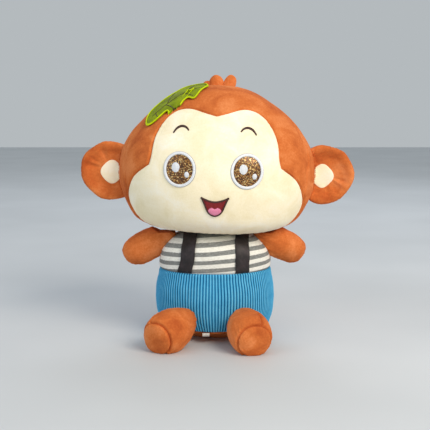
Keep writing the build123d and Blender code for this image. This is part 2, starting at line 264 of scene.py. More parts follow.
def edit(piece: bpy.types.Object, *steps: tuple) -> None:
    """Runs edit-mode operators on all of a piece.

    Args:
        piece: the mesh object.
        steps: pairs of an operator and its settings.
    """
    only(piece)
    bpy.ops.object.mode_set(mode="EDIT")
    bpy.ops.mesh.select_all(action="SELECT")
    for operator, settings in steps:
        operator(**settings)
    bpy.ops.object.mode_set(mode="OBJECT")


def modify(piece: bpy.types.Object, kind: str, **settings: object) -> None:
    """Adds a modifier to a piece and applies it.

    Args:
        piece: the piece to change.
        kind: the modifier's type.
        settings: the modifier's own settings.
    """
    only(piece)
    modifier = piece.modifiers.new(kind.title(), kind)
    for name, value in settings.items():
        setattr(modifier, name, value)
    bpy.ops.object.modifier_apply(modifier=modifier.name)


def smooth(piece: bpy.types.Object, angle: float = 50.0) -> None:
    """Shades a piece smooth, except over edges sharper than an angle in degrees."""
    only(piece)
    bpy.ops.object.shade_smooth_by_angle(angle=radians(angle))


def cloth_grid(
    name: str,
    points: Array,
    pattern: Array | None = None,
    marks: dict[str, Array] | None = None,
    outward: Array | None = None,
) -> bpy.types.Object:
    """A grid primitive laid over an array of points, with doubles merged.

    Args:
        name: the piece's name.
        points: rows by columns of points in millimetres.
        pattern: rows by columns of pattern coordinates in millimetres, for the UV map.
        marks: named values for each point, for the material.
        outward: a direction that faces turn towards; closed shapes need none.

    Returns:
        The new mesh object.
    """
    rows, columns = points.shape[:2]
    bpy.ops.object.select_all(action="DESELECT")
    bpy.ops.mesh.primitive_grid_add(
        x_subdivisions=columns - 1, y_subdivisions=rows - 1, size=2.0
    )
    piece = bpy.context.object
    piece.name = piece.data.name = PREFIX + name
    mesh = piece.data
    flat = np.empty(len(mesh.vertices) * 3)
    mesh.vertices.foreach_get("co", flat)
    flat = flat.reshape(-1, 3)
    column = np.rint((flat[:, 0] + 1) / 2 * (columns - 1)).astype(int)
    row = np.rint((flat[:, 1] + 1) / 2 * (rows - 1)).astype(int)
    mesh.vertices.foreach_set("co", (points[row, column] * MM).ravel())
    if pattern is not None:
        corner = np.empty(len(mesh.loops), int)
        mesh.loops.foreach_get("vertex_index", corner)
        laid = pattern[row, column][corner] * MM
        mesh.uv_layers.active.data.foreach_set("uv", laid.astype(np.float32).ravel())
    for mark, values in (marks or {}).items():
        layer = mesh.attributes.new(mark, "FLOAT", "POINT")
        layer.data.foreach_set("value", values[row, column].astype(np.float32).ravel())
    mesh.update()
    edit(piece, (bpy.ops.mesh.remove_doubles, {"threshold": 0.00002}))
    if outward is None:
        edit(piece, (bpy.ops.mesh.normals_make_consistent, {"inside": False}))
    else:
        facing = np.empty(len(piece.data.polygons) * 3)
        piece.data.polygons.foreach_get("normal", facing)
        if np.sum(facing.reshape(-1, 3) @ outward) < 0:
            edit(piece, (bpy.ops.mesh.flip_normals, {}))
    return piece


def panel(
    name: str,
    points: Array,
    middle: Array,
    pattern: Array | None = None,
    marks: dict[str, Array] | None = None,
    thickness: float = COVER,
) -> bpy.types.Object:
    """A panel of cover cloth with its thickness on the inside.

    Args:
        name: the piece's name.
        points: rows by columns of points of the outer face, in millimetres.
        middle: a point inside the stuffed form.
        pattern: pattern coordinates in millimetres.
        marks: named values for the material.
        thickness: the cloth's thickness.

    Returns:
        The closed shell.
    """
    centre = points.reshape(-1, 3).mean(0)
    piece = cloth_grid(name, points, pattern, marks, outward=unit(centre - middle))
    modify(piece, "SOLIDIFY", thickness=thickness * MM, offset=-1.0, use_rim=True)
    smooth(piece)
    return piece


def joined(name: str, pieces: list[bpy.types.Object]) -> bpy.types.Object:
    """Pieces joined into one object with a name.

    Args:
        name: the name of the piece.
        pieces: the pieces to join.

    Returns:
        The joined piece.
    """
    only(*pieces)
    bpy.ops.object.join()
    piece = bpy.context.object
    piece.name = piece.data.name = PREFIX + name
    return piece


# ---------------------------------------------------------------- seams


@dataclass(frozen=True)
class Seam:
    """A seam turned inwards: a valley, a soft shoulder and short gathers across it."""

    depth: float = 1.5
    shoulder: float = 0.9
    gather: float = 0.35
    pitch: float = 7.0
    seed: int = 1

    def lift(self, distance: Array, along: Array) -> Array:
        """How far the cloth stands in or out.

        Args:
            distance: millimetres from the seam.
            along: millimetres along it.

        Returns:
            The lift, below zero in the valley.
        """
        draw = np.random.RandomState(self.seed)
        shift = draw.uniform(0, 2 * pi, 3)
        swing = np.sin(along * 2 * pi / (3.1 * self.pitch) + shift[0])
        gathers = np.sin(along * 2 * pi / self.pitch + 2.2 * swing + shift[1])
        gathers = gathers * (0.55 + 0.45 * np.sin(along * 2 * pi / (7.7 * self.pitch) + shift[2]))
        valley = -self.depth * np.exp(-((distance / 1.2) ** 2))
        soft = -self.shoulder * np.exp(-distance / 5.5)
        ridge = 0.25 * self.depth * np.exp(-(((distance - 3.0) / 1.6) ** 2))
        return valley + soft + ridge + self.gather * gathers * np.exp(-distance / 6.5) * (
            1 - np.exp(-((distance / 1.4) ** 2))
        )


# ---------------------------------------------------------------- materials


def srgb(code: str) -> tuple[float, float, float, float]:
    """A colour's linear values from its sRGB hex code.

    Args:
        code: the colour's hex code, with its hash mark.

    Returns:
        Red, green, blue and alpha.
    """
    parts = (int(code[i : i + 2], 16) / 255 for i in (1, 3, 5))
    red, green, blue = (
        c / 12.92 if c <= 0.04045 else ((c + 0.055) / 1.055) ** 2.4 for c in parts
    )
    return red, green, blue, 1.0


def add_node(
    tree: bpy.types.NodeTree, kind: str, inputs: dict | None = None, **settings: object
) -> bpy.types.Node:
    """Adds a node with its settings and links.

    Args:
        tree: the material's node tree.
        kind: the node's type, without the "ShaderNode" in front.
        inputs: for each socket, by name or number, a value or the output it is linked to.
        settings: the node's own settings; "stops" are a ramp's (place, hex colour) pairs.

    Returns:
        The node.
    """
    node = tree.nodes.new("ShaderNode" + kind)
    stops = settings.pop("stops", None)
    for name, value in settings.items():
        setattr(node, name, value)
    for socket, value in (inputs or {}).items():
        if isinstance(value, bpy.types.NodeSocket):
            tree.links.new(value, node.inputs[socket])
        else:
            node.inputs[socket].default_value = value
    if stops:
        while len(node.color_ramp.elements) < len(stops):
            node.color_ramp.elements.new(0.5)
        for element, (place, code) in zip(node.color_ramp.elements, stops):
            element.position, element.color = place, srgb(code)
    return node


class Finish:
    """What the finishes share: a material with one principled surface."""

    label: str

    def start(self, **surface: object) -> tuple[bpy.types.NodeTree, bpy.types.Node]:
        """A new material.

        Args:
            surface: constants for the principled shader's sockets.

        Returns:
            Its tree and its principled shader.
        """
        self_material = bpy.data.materials.new(self.label)
        self_material.use_nodes = True
        tree = self_material.node_tree
        shader = tree.nodes["Principled BSDF"]
        for name, value in surface.items():
            shader.inputs[name.replace("_", " ")].default_value = value
        return tree, shader

    def close(
        self, tree: bpy.types.NodeTree, shader: bpy.types.Node,
        colour: bpy.types.NodeSocket, height: bpy.types.NodeSocket,
        strength: float, depth: float,
    ) -> bpy.types.Material:
        """Links the colour and the bump, and returns the material.

        Args:
            tree: the material's node tree.
            shader: its principled shader.
            colour: the colour's output.
            height: the bump's height, from 0 to 1.
            strength: how much of the bump shows.
            depth: the bump's depth in millimetres.

        Returns:
            The material.
        """
        bump = add_node(tree, "Bump", {"Strength": strength, "Distance": depth * MM, "Height": height})
        tree.links.new(colour, shader.inputs["Base Color"])
        tree.links.new(bump.outputs[0], shader.inputs["Normal"])
        return next(m for m in bpy.data.materials if m.node_tree == tree)


def per_metre(size: float) -> float:
    """A noise scale for a feature of a size in millimetres."""
    return 1.0 / (size * MM)


@dataclass(frozen=True)
class Velour(Finish):
    """Short-pile knitted velour: matt, with tones where the nap lies differently."""

    label: str
    dark: str
    middle: str
    light: str
    glow: float = 0.35

    def build(self) -> bpy.types.Material:
        """Brushed nap in 30 mm clouds over 1.2 mm pile, drawn coarse enough to show."""
        tree, shader = self.start(
            Roughness=0.92, Specular_IOR_Level=0.2, Sheen_Weight=self.glow,
            Sheen_Roughness=0.42, Sheen_Tint=srgb(self.light),
        )
        place = add_node(tree, "TexCoord").outputs["Object"]
        cloud = add_node(tree, "TexNoise", {
            "Vector": place, "Scale": per_metre(32), "Detail": 3.0, "Roughness": 0.55, "Distortion": 0.6,
        })
        tufts = add_node(tree, "TexNoise", {
            "Vector": place, "Scale": per_metre(2.2), "Detail": 4.0, "Roughness": 0.7,
        })
        pile = add_node(tree, "TexNoise", {"Vector": place, "Scale": per_metre(0.8), "Detail": 3.0})
        mixed = add_node(tree, "Mix", {0: 0.28, 2: cloud.outputs[0], 3: tufts.outputs[0]})
        tone = add_node(tree, "ValToRGB", {"Fac": mixed.outputs[0]}, stops=(
            (0.34, self.dark), (0.5, self.middle), (0.68, self.light),
        ))
        height = add_node(tree, "Mix", {0: 0.5, 2: tufts.outputs[0], 3: pile.outputs[0]})
        return self.close(tree, shader, tone.outputs[0], height.outputs[0], 0.45, 0.9)


@dataclass(frozen=True)
class Corduroy(Finish):
    """Cotton corduroy: cut pile on ridges that stand in the mesh, woven ground between."""

    label: str = "blue_cotton_corduroy"

    def build(self) -> bpy.types.Material:
        """Deep blue, painted darker in the grooves as shade and lighter at the ridge tops as a highlight,
        with patches of wear in the nap.
        """
        tree, shader = self.start(
            Roughness=0.88, Specular_IOR_Level=0.2, Sheen_Weight=0.45,
            Sheen_Roughness=0.35, Sheen_Tint=srgb("#9fd8f2"),
        )
        place = add_node(tree, "TexCoord").outputs["Object"]
        wale = add_node(tree, "Attribute", attribute_name="wale").outputs["Fac"]
        nap = add_node(tree, "TexNoise", {"Vector": place, "Scale": per_metre(9), "Detail": 3.0})
        pile = add_node(tree, "TexNoise", {"Vector": place, "Scale": per_metre(0.9), "Detail": 3.0})
        painted_groove_shade_and_nap = add_node(tree, "Mix", {0: 0.22, 2: wale, 3: nap.outputs[0]})
        # The ramp paints shade into the grooves and a highlight onto the ridge tops from the ridge height,
        # with random nap tone mixed in.
        tone = add_node(tree, "ValToRGB", {"Fac": painted_groove_shade_and_nap.outputs[0]}, stops=(
            (0.1, "#063a5e"), (0.42, "#0e6a9c"), (0.66, "#2590c6"), (0.92, "#6cbde0"),
        ))
        return self.close(tree, shader, tone.outputs[0], pile.outputs[0], 0.4, 0.8)


@dataclass(frozen=True)
class Jersey(Finish):
    """Knitted cotton jersey in yarn-dyed stripes: off-white with marled grey."""

    label: str = "striped_cotton_jersey"
    pitch: float = 9.3
    grey_width: float = 4.6
    first: float = 83.6

    def build(self) -> bpy.types.Material:
        """Stripes follow the rows of stitches; stitches of 1.2 mm are drawn to show."""
        tree, shader = self.start(
            Roughness=0.86, Specular_IOR_Level=0.25, Sheen_Weight=0.12, Sheen_Roughness=0.5,
        )
        place = add_node(tree, "TexCoord")
        marled = add_node(tree, "Mapping", {"Vector": place.outputs["Object"], "Scale": (1.0, 1.0, 5.0)})
        yarn = add_node(tree, "TexNoise", {
            "Vector": marled.outputs[0], "Scale": per_metre(3.2), "Detail": 4.0, "Roughness": 0.75,
        })
        row = add_node(tree, "Attribute", attribute_name="row").outputs["Fac"]
        shifted = add_node(tree, "Math", {0: yarn.outputs[0], 1: 1.1, 2: row}, operation="MULTIPLY_ADD")
        offset = add_node(tree, "Math", {0: shifted.outputs[0], 1: self.first + 0.55}, operation="SUBTRACT")
        distance = add_node(tree, "Math", {0: offset.outputs[0], 1: self.pitch / 2}, operation="PINGPONG")
        edge = self.grey_width / 2
        grey = add_node(tree, "MapRange", {
            "Value": distance.outputs[0], "From Min": edge + 0.25, "From Max": edge - 0.25,
        }, interpolation_type="SMOOTHSTEP")
        greys = add_node(tree, "ValToRGB", {"Fac": yarn.outputs[0]}, stops=(
            (0.3, "#6a6c6a"), (0.5, "#828482"), (0.7, "#a2a4a0"),
        ))
        whites = add_node(tree, "ValToRGB", {"Fac": yarn.outputs[0]}, stops=(
            (0.3, "#d9d8cf"), (0.5, "#efeee6"), (0.7, "#fbfaf5"),
        ))
        tone = add_node(tree, "Mix", {
            0: grey.outputs[0], 6: whites.outputs[0], 7: greys.outputs[0],
        }, data_type="RGBA")
        laid = add_node(tree, "SeparateXYZ", {0: place.outputs["UV"]})
        stitch, course = (
            add_node(tree, "Math", {
                0: add_node(
                    tree, "Math", {0: laid.outputs[i], 1: 2 * pi / (size * MM)}, operation="MULTIPLY",
                ).outputs[0],
            }, operation="SINE").outputs[0]
            for i, size in ((0, 1.5), (1, 1.2))
        )
        loops = add_node(tree, "Math", {0: stitch, 1: course}, operation="MULTIPLY")
        height = add_node(tree, "Mix", {0: 0.45, 2: loops.outputs[0], 3: yarn.outputs[0]})
        return self.close(tree, shader, tone.outputs[2], height.outputs[0], 0.45, 0.5)


@dataclass(frozen=True)
class Twill(Finish):
    """Polyester twill tape: near black brown, with a soft shine along the ribs."""

    label: str = "dark_brown_twill_tape"

    def build(self) -> bpy.types.Material:
        """Diagonal ribs of 1.1 mm, drawn coarse enough to show, and rubbed lighter patches."""
        tree, shader = self.start(
            Roughness=0.55, Specular_IOR_Level=0.4, Sheen_Weight=0.3,
            Sheen_Roughness=0.3, Sheen_Tint=srgb("#8a7478"),
        )
        place = add_node(tree, "TexCoord")
        ribs = add_node(tree, "TexWave", {
            "Vector": place.outputs["UV"], "Scale": per_metre(1.1) / 20 * pi,
            "Distortion": 0.6, "Detail": 2.0,
        }, bands_direction="DIAGONAL")
        rub = add_node(tree, "TexNoise", {
            "Vector": place.outputs["Object"], "Scale": per_metre(9), "Detail": 4.0, "Roughness": 0.6,
        })
        tone = add_node(tree, "ValToRGB", {"Fac": rub.outputs[0]}, stops=(
            (0.32, "#171213"), (0.5, "#211a1c"), (0.72, "#342a2d"),
        ))
        return self.close(tree, shader, tone.outputs[0], ribs.outputs[0], 0.35, 0.3)


@dataclass(frozen=True)
class Felt(Finish):
    """Pressed felt: matt matted fibre in one of two greens."""

    label: str
    dark: str
    middle: str
    light: str

    def build(self) -> bpy.types.Material:
        """Matted fibres of about 1 mm over slow changes of tone."""
        tree, shader = self.start(
            Roughness=0.95, Specular_IOR_Level=0.1, Sheen_Weight=0.08, Sheen_Roughness=0.5,
        )
        place = add_node(tree, "TexCoord").outputs["Object"]
        cloud = add_node(tree, "TexNoise", {"Vector": place, "Scale": per_metre(13), "Detail": 3.0})
        fibre = add_node(tree, "TexNoise", {
            "Vector": place, "Scale": per_metre(1.1), "Detail": 5.0, "Roughness": 0.8, "Distortion": 1.5,
        })
        mixed = add_node(tree, "Mix", {0: 0.5, 2: cloud.outputs[0], 3: fibre.outputs[0]})
        tone = add_node(tree, "ValToRGB", {"Fac": mixed.outputs[0]}, stops=(
            (0.34, self.dark), (0.5, self.middle), (0.66, self.light),
        ))
        return self.close(tree, shader, tone.outputs[0], fibre.outputs[0], 0.6, 0.6)


@dataclass(frozen=True)
class SatinStitch(Finish):
    """Rayon embroidery thread in satin stitch: parallel shiny threads."""

    label: str
    # shade and shine are painted shade between the threads and a painted highlight on them; body is the
    # thread's own colour.
    shade: str
    body: str
    shine: str
    edge: str = ""

    def build(self) -> bpy.types.Material:
        """Threads of 0.4 mm are drawn 0.7 mm apart, so that they show; the colour paints shade between the
        threads and a highlight along each.
        """
        tree, shader = self.start(
            Roughness=0.42, Specular_IOR_Level=0.45, Sheen_Weight=0.15, Sheen_Roughness=0.3,
        )
        place = add_node(tree, "TexCoord")
        threads = add_node(tree, "TexWave", {
            "Vector": place.outputs["UV"], "Scale": per_metre(0.7) / 20 * pi, "Distortion": 1.2,
            "Detail": 2.0, "Detail Scale": 0.6,
        }, bands_direction="X")
        patchy = add_node(tree, "TexNoise", {
            "Vector": place.outputs["Object"], "Scale": per_metre(1.6), "Detail": 3.0,
        })
        mixed = add_node(tree, "Mix", {0: 0.45, 2: threads.outputs["Fac"], 3: patchy.outputs[0]})
        # Painted shade and highlight: the ramp darkens the colour between the threads and lightens it along
        # them.
        tone = add_node(tree, "ValToRGB", {"Fac": mixed.outputs[0]}, stops=(
            (0.15, self.shade), (0.5, self.body), (0.85, self.shine),
        ))
        colour = tone.outputs[0]
        if self.edge:
            rim = add_node(tree, "Attribute", attribute_name="rim").outputs["Fac"]
            edged = add_node(tree, "Mix", {0: rim, 6: colour, 7: srgb(self.edge)}, data_type="RGBA")
            colour = edged.outputs[2]
        return self.close(tree, shader, colour, threads.outputs["Fac"], 0.5, 0.35)


@dataclass(frozen=True)
class GlitterCloth(Finish):
    """Glitter cloth: brown and gold flakes that catch the light one by one."""

    label: str = "brown_gold_glitter_cloth"
    flake: float = 0.8

    def build(self) -> bpy.types.Material:
        """Flakes of 0.4 mm are drawn 0.8 mm wide, so that single flakes show."""
        tree, shader = self.start(
            Roughness=0.38, Specular_IOR_Level=0.6, Metallic=0.35, Coat_Weight=0.2, Coat_Roughness=0.25,
        )
        place = add_node(tree, "TexCoord").outputs["Object"]
        flakes = add_node(tree, "TexVoronoi", {"Vector": place, "Scale": per_metre(self.flake)})
        chance = add_node(tree, "SeparateColor", {0: flakes.outputs["Color"]})
        tone = add_node(tree, "ValToRGB", {"Fac": chance.outputs[0]}, stops=(
            (0.0, "#2c1508"), (0.3, "#4a2810"), (0.55, "#6e4119"), (0.74, "#a06a2c"),
            (0.88, "#c99548"), (0.97, "#f6dc9a"),
        ))
        return self.close(tree, shader, tone.outputs[0], chance.outputs[1], 0.8, 0.4)


@dataclass(frozen=True)
class Fibre(Finish):
    """Loose polyester filling: white, springy, with deep soft lumps."""

    label: str = "polyester_fibre_filling"

    def build(self) -> bpy.types.Material:
        """Strands of about 1.5 mm in clumps of 8 mm."""
        tree, shader = self.start(
            Roughness=0.8, Specular_IOR_Level=0.3, Sheen_Weight=0.4, Sheen_Roughness=0.5,
        )
        place = add_node(tree, "TexCoord").outputs["Object"]
        clumps = add_node(tree, "TexNoise", {
            "Vector": place, "Scale": per_metre(8), "Detail": 6.0, "Roughness": 0.75, "Distortion": 2.0,
        })
        tone = add_node(tree, "ValToRGB", {"Fac": clumps.outputs[0]}, stops=(
            (0.3, "#d5d5d2"), (0.5, "#eeeeea"), (0.7, "#fcfcfa"),
        ))
        return self.close(tree, shader, tone.outputs[0], clumps.outputs[0], 0.8, 2.0)


@dataclass(frozen=True)
class StudioFloor(Finish):
    """A pale painted floor, with faint unevenness and a soft reflection."""

    label: str = "pale_painted_floor"

    def build(self) -> bpy.types.Material:
        """Slow changes of tone over 300 mm and a fine roller texture."""
        tree, shader = self.start(Roughness=0.6, Specular_IOR_Level=0.25)
        place = add_node(tree, "TexCoord").outputs["Object"]
        cloud = add_node(tree, "TexNoise", {"Vector": place, "Scale": per_metre(300), "Detail": 2.0})
        tone = add_node(tree, "ValToRGB", {"Fac": cloud.outputs[0]}, stops=(
            (0.3, "#c6cace"), (0.7, "#cfd3d7"),
        ))
        return self.close(tree, shader, tone.outputs[0], cloud.outputs[0], 0.1, 0.3)


class Wardrobe:
    """The finished materials, one for each cloth and thread."""

    def __init__(self) -> None:
        """Builds every material once."""
        self.brown = Velour("russet_velour", "#b25526", "#cf7036", "#e99158").build()
        self.cream = Velour("cream_velour", "#f3e6c0", "#fcf1d3", "#fffaea", 0.25).build()
        self.corduroy = Corduroy().build()
        self.jersey = Jersey().build()
        self.twill = Twill().build()
        self.felt = Felt("green_felt", "#5f6c00", "#7c8e00", "#97aa02").build()
        self.lime = Felt("lime_felt_edge", "#a6b800", "#bdd000", "#d3e40c").build()
        self.white = SatinStitch("white_satin_stitch", "#c9ced6", "#e9edf3", "#fbfcff", "#9aa0a6").build()
        self.glint = SatinStitch("pale_grey_satin_stitch", "#b9c0ca", "#dfe3ea", "#f6f8fb").build()
        self.dark = SatinStitch("dark_brown_satin_stitch", "#1c0c08", "#35190f", "#5a3224").build()
        self.red = SatinStitch("red_satin_stitch", "#5e0508", "#7e0c10", "#9e1c1f").build()
        self.pink = SatinStitch("pink_satin_stitch", "#cf6088", "#e884a8", "#f7acc6").build()
        self.label = SatinStitch("white_satin_ribbon", "#c8c6c0", "#dedcd6", "#efeee9").build()
        self.glitter = GlitterCloth().build()
        self.fibre = Fibre().build()
        self.floor = StudioFloor().build()


def dress(
    piece: bpy.types.Object, material: bpy.types.Material, nodes: tuple = (),
    body: str = "",
) -> bpy.types.Object:
    """Gives a piece its material, the nodes it stands for and its body.

    Args:
        piece: the finished mesh.
        material: its material.
        nodes: the CAD nodes that it replaces.
        body: the body it rides on, or nothing to leave it unattached.

    Returns:
        The same piece.
    """
    piece.data.materials.clear()
    piece.data.materials.append(material)
    if nodes:
        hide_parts(*(node.removeprefix(PREFIX) for node in nodes))
    if body:
        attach(piece, body)
    LOG.info("%s: %d faces", piece.name, len(piece.data.polygons))
    return piece


# ---------------------------------------------------------------- the head

NECK = np.array([0.0, 0.0, 118.0])


@dataclass
class Head:
    """The big stuffed head: face panel, hood, and all that is sewn on them."""

    outline: tuple = (
        (0, 286.5), (20, 285), (37, 280.5), (50, 274), (64, 265), (79, 253), (95, 236), (107, 216),
        (111.5, 193), (110, 173),
        (105.5, 158), (100, 146.5), (92, 135.5), (79, 127.5), (60, 123), (38, 124.5), (0, 126),
    )
    flat: float = 0.78
    roll: float = 1.7
    yaw: float = -2.0
    forehead: tuple = (
        (0, 254), (13, 257.5), (29, 261.5), (46.5, 257.5), (57.5, 247.5), (63.5, 238), (67, 229),
        (69.2, 218.6), (70.4, 208), (72.5, 199),
    )
    cheek: tuple = (
        (72.5, 199), (78, 195), (84, 190.5), (90, 184.5), (94, 177), (96.5, 169), (97.5, 161),
        (96, 152), (91.5, 143), (84, 134),
    )
    chin: tuple = ((70, -22), (50, -20), (30, -18), (0, -17))
    side_seam_y: float = -37.0
    side_seam_lean: float = 0.46
    face_height: float = 192.0
    segments: int = 320

    def __post_init__(self) -> None:
        """Works out the leaned form and the seams round the face and down the sides."""
        roll, yaw = radians(self.roll), radians(self.yaw)
        tilt = np.array([[cos(roll), 0, sin(roll)], [0, 1, 0], [-sin(roll), 0, cos(roll)]])
        turn = np.array([[cos(yaw), -sin(yaw), 0], [sin(yaw), cos(yaw), 0], [0, 0, 1]])
        self.turn = turn @ tilt
        line = spline(self.outline)
        self.form = Form(line, self.place(np.zeros(3)), self.turn.T.copy(), self.flat)
        share = self.form.share_at(1, self.face_height)
        self.pole = np.array([0.0, -sin(pi * share), cos(pi * share)])
        self.up = unit(np.array([0.0, 0.0, 1.0]) - self.pole * self.pole[2])
        self.face_seam = self.seam_curve(self.face_edge())
        self.side_seam = self.seam_curve(self.side_edge())

    def place(self, local: Array) -> Array:
        """Points of the upright head, leaned as it sits on the neck."""
        return (np.asarray(local, float) - NECK) @ self.turn.T + NECK

    def place_way(self, local: Array) -> Array:
        """A direction of the upright head, leaned."""
        return self.turn @ np.asarray(local, float)

    def way(self, share: Array, turn: Array) -> Array:
        """The direction that stands for a place on the head."""
        angle = pi * np.asarray(share)
        return np.stack([np.sin(angle) * np.cos(turn), np.sin(angle) * np.sin(turn), np.cos(angle)], -1)

    def face_edge(self) -> Array:
        """The face panel's edge, as directions: over the brows, round the cheeks, under the chin."""
        top, side = spline(self.forehead, count=120), spline(self.cheek, count=100)
        right = np.vstack([top, side[1:]])
        heights, radii = self.form.line[:, 1], self.form.line[:, 0]
        widest = int(np.argmin(heights))
        down = np.linspace(0, widest / (len(radii) - 1), widest + 1)
        share = np.interp(-right[:, 1], -heights[: widest + 1], down)
        radius = self.form.radius(share)
        front = self.way(share, -np.arccos(np.clip(right[:, 0] / radius, -1, 1)))
        under = spline([(84.0, -26.0), *self.chin], count=60)[1:]
        radius = np.hypot(under[:, 0], under[:, 1] / self.flat)
        low = self.form.share_at(0, 84.0, (0.6, 1.0))
        place = np.linspace(low, 1.0, 200)
        share = np.interp(-radius, -self.form.radius(place), place)
        below = self.way(share, np.arctan2(under[:, 1] / self.flat, under[:, 0]))
        half = np.vstack([front, below])
        return np.vstack([half, half[::-1] * np.array([-1.0, 1.0, 1.0])])

    def side_edge(self) -> Array:
        """The seam down the sides of the hood and back over its crown, as directions."""
        places = np.linspace(0, 1, 800)
        height = pick(self.form.line, places)[:, 1]
        depth = self.side_seam_y + self.side_seam_lean * np.clip(height - self.face_height, 0, None)
        slope = depth / self.flat / np.maximum(self.form.radius(places), 0.1)
        keep = np.abs(slope) < 1
        right = self.way(places[keep], np.arcsin(slope[keep]))
        return np.vstack([right, right[::-1] * np.array([-1.0, 1.0, 1.0])])

    def seam_curve(self, edge: Array) -> tuple[Array, Array]:
        """A seam as its angle from the face's middle against its bearing round it.

        Args:
            edge: unit directions of the seam's points.

        Returns:
            Bearings and angles, in order of bearing.
        """
        reach = np.arccos(np.clip(edge @ self.pole, -1, 1))
        bearing = np.arctan2(edge @ self.up, edge[:, 0])
        order = np.argsort(bearing)
        return bearing[order], reach[order]

    def reach(self, seam: tuple[Array, Array], bearing: Array) -> Array:
        """The seam's angle from the face's middle at each bearing."""
        return np.interp(bearing, seam[0], seam[1], period=2 * pi)

    def settle(self, reach: Array, bearing: Array) -> tuple[Array, Array]:
        """The share of the outline and the turn at an angle and bearing from the face's middle.

        Args:
            reach: the angle from the face's middle.
            bearing: the bearing round the face's middle.

        Returns:
            The share and the turn.
        """
        side = np.cos(bearing)[..., None] * np.array([1.0, 0.0, 0.0])
        rise = np.sin(bearing)[..., None] * self.up
        way = np.cos(reach)[..., None] * self.pole + np.sin(reach)[..., None] * (side + rise)
        return np.arccos(np.clip(way[..., 2], -1, 1)) / pi, np.arctan2(way[..., 1], way[..., 0])

    def surface(self, reach: Array, bearing: Array, inset: float = 0.0) -> Array:
        """The stuffed surface with its seams, gathers and soft hollows.

        Args:
            reach: the angle from the face's middle.
            bearing: the bearing round the face's middle.
            inset: how far inside the cover the points lie.

        Returns:
            Points of the surface.
        """
        share, turn = self.settle(reach, bearing)
        bare = self.form.base(share, turn)
        size = 95.0
        edge = self.reach(self.face_seam, bearing)
        sides = np.maximum(self.reach(self.side_seam, bearing), edge + 0.05)
        around = bearing * size * 0.8
        lift = 0.9 * waves(bare, 75.0, 4) + 0.3 * waves(bare, 24.0, 5)
        lift += Seam(1.5, 1.0, 0.3, 8.0, 3).lift(np.abs(reach - edge) * size, around)
        lift += Seam(0.9, 0.6, 0.25, 11.0, 8).lift(np.abs(reach - sides) * size, around)
        middle = np.abs(np.abs(bearing) - pi / 2) * size * np.sin(reach)
        lift += np.where(reach > sides, Seam(0.9, 0.6, 0.2, 9.0, 6).lift(middle, reach * size), 0.0)
        low = np.exp(-np.clip(bare[..., 2] - 128.0, 0, None) / 7.0) * (bare[..., 1] < 0)
        lift += 0.16 * low * np.sin(bare[..., 0] * 2 * pi / 8.5 + 1.4 * np.sin(bare[..., 0] / 11.0))
        return self.form.skin(share, turn, lift - inset)

    def build(self, stock: Wardrobe) -> list[bpy.types.Object]:
        """The face panel, the hood's three panels and the filling.

        Args:
            stock: the finished materials.

        Returns:
            The cover panels, with the face first.
        """
        per = 1 / 95.0
        middle = self.place(np.array([0.0, 0.0, 195.0]))
        whole = np.linspace(-pi, pi, self.segments + 1)
        edge = self.reach(self.face_seam, whole)
        sides = np.maximum(self.reach(self.side_seam, whole), edge + 0.05)
        fine = FINE_STEPS * per
        face_rows = [np.linspace(0.0, 1.0, 48)[:, None] * (edge - fine[-1]), edge - fine[:-1][::-1, None]]
        face = np.vstack(face_rows)
        steps = np.linspace(0.0, 1.0, 14)[:, None]
        tight = np.minimum(fine[:, None], (sides - edge) * 0.3 * (FINE_STEPS / FINE_STEPS[-1])[:, None])
        front = np.vstack([
            edge + tight[:-1], edge + tight[-1] + steps * (sides - edge - 2 * tight[-1]),
            sides - tight[:-1][::-1],
        ])
        pieces = [
            dress(panel("face_panel", self.surface(face, np.broadcast_to(whole, face.shape)), middle),
                  stock.cream, ("face_panel",), "head"),
        ]
        hood = cloth_grid("hood_front", self.surface(front, np.broadcast_to(whole, front.shape)),
                          outward=self.place_way(np.array([0.0, -1.0, 0.0])))
        inner = self.place(np.array([0.0, 30.0, 195.0]))
        self.face_outwards(hood, inner)
        modify(hood, "SOLIDIFY", thickness=COVER * MM, offset=-1.0, use_rim=True)
        smooth(hood)
        pieces.append(dress(hood, stock.brown, ("hood_front",), "head"))
        for side in Side:
            centre = 0.0 if side is Side.RIGHT else pi
            columns = graded(centre - pi / 2, centre + pi / 2, 110, per)
            edge = self.reach(self.face_seam, columns)
            sides = np.maximum(self.reach(self.side_seam, columns), edge + 0.05)
            rows = np.vstack([
                sides + fine[:-1, None],
                sides + fine[-1] + np.linspace(0, 1, 44)[:, None] * (pi - sides - fine[-1]),
            ])
            rear = self.surface(rows, np.broadcast_to(columns, rows.shape))
            back = panel(f"hood_back_{side.label}", rear, middle)
            pieces.append(dress(back, stock.brown, (f"hood_back_{side.label}",), "head"))
        rows, columns = np.linspace(0, pi, 60)[:, None], np.linspace(-pi, pi, 91)[None, :]
        rows, columns = np.broadcast_arrays(rows, columns)
        filling = cloth_grid("head_filling", lumpy(self.surface(rows, columns, COVER + 2.2), 21))
        smooth(filling, 180)
        dress(filling, stock.fibre, ("head_filling",), "head")
        return pieces

    @staticmethod
    def face_outwards(piece: bpy.types.Object, middle: Array) -> None:
        """Turns a band's faces away from a point inside it.

        Args:
            piece: the piece to change.
            middle: a point inside the piece.
        """
        count = len(piece.data.polygons)
        normals, centres = np.empty(count * 3), np.empty(count * 3)
        piece.data.polygons.foreach_get("normal", normals)
        piece.data.polygons.foreach_get("center", centres)
        away = centres.reshape(-1, 3) - middle * MM
        if np.sum(normals.reshape(-1, 3) * away) < 0:
            edit(piece, (bpy.ops.mesh.flip_normals, {}))


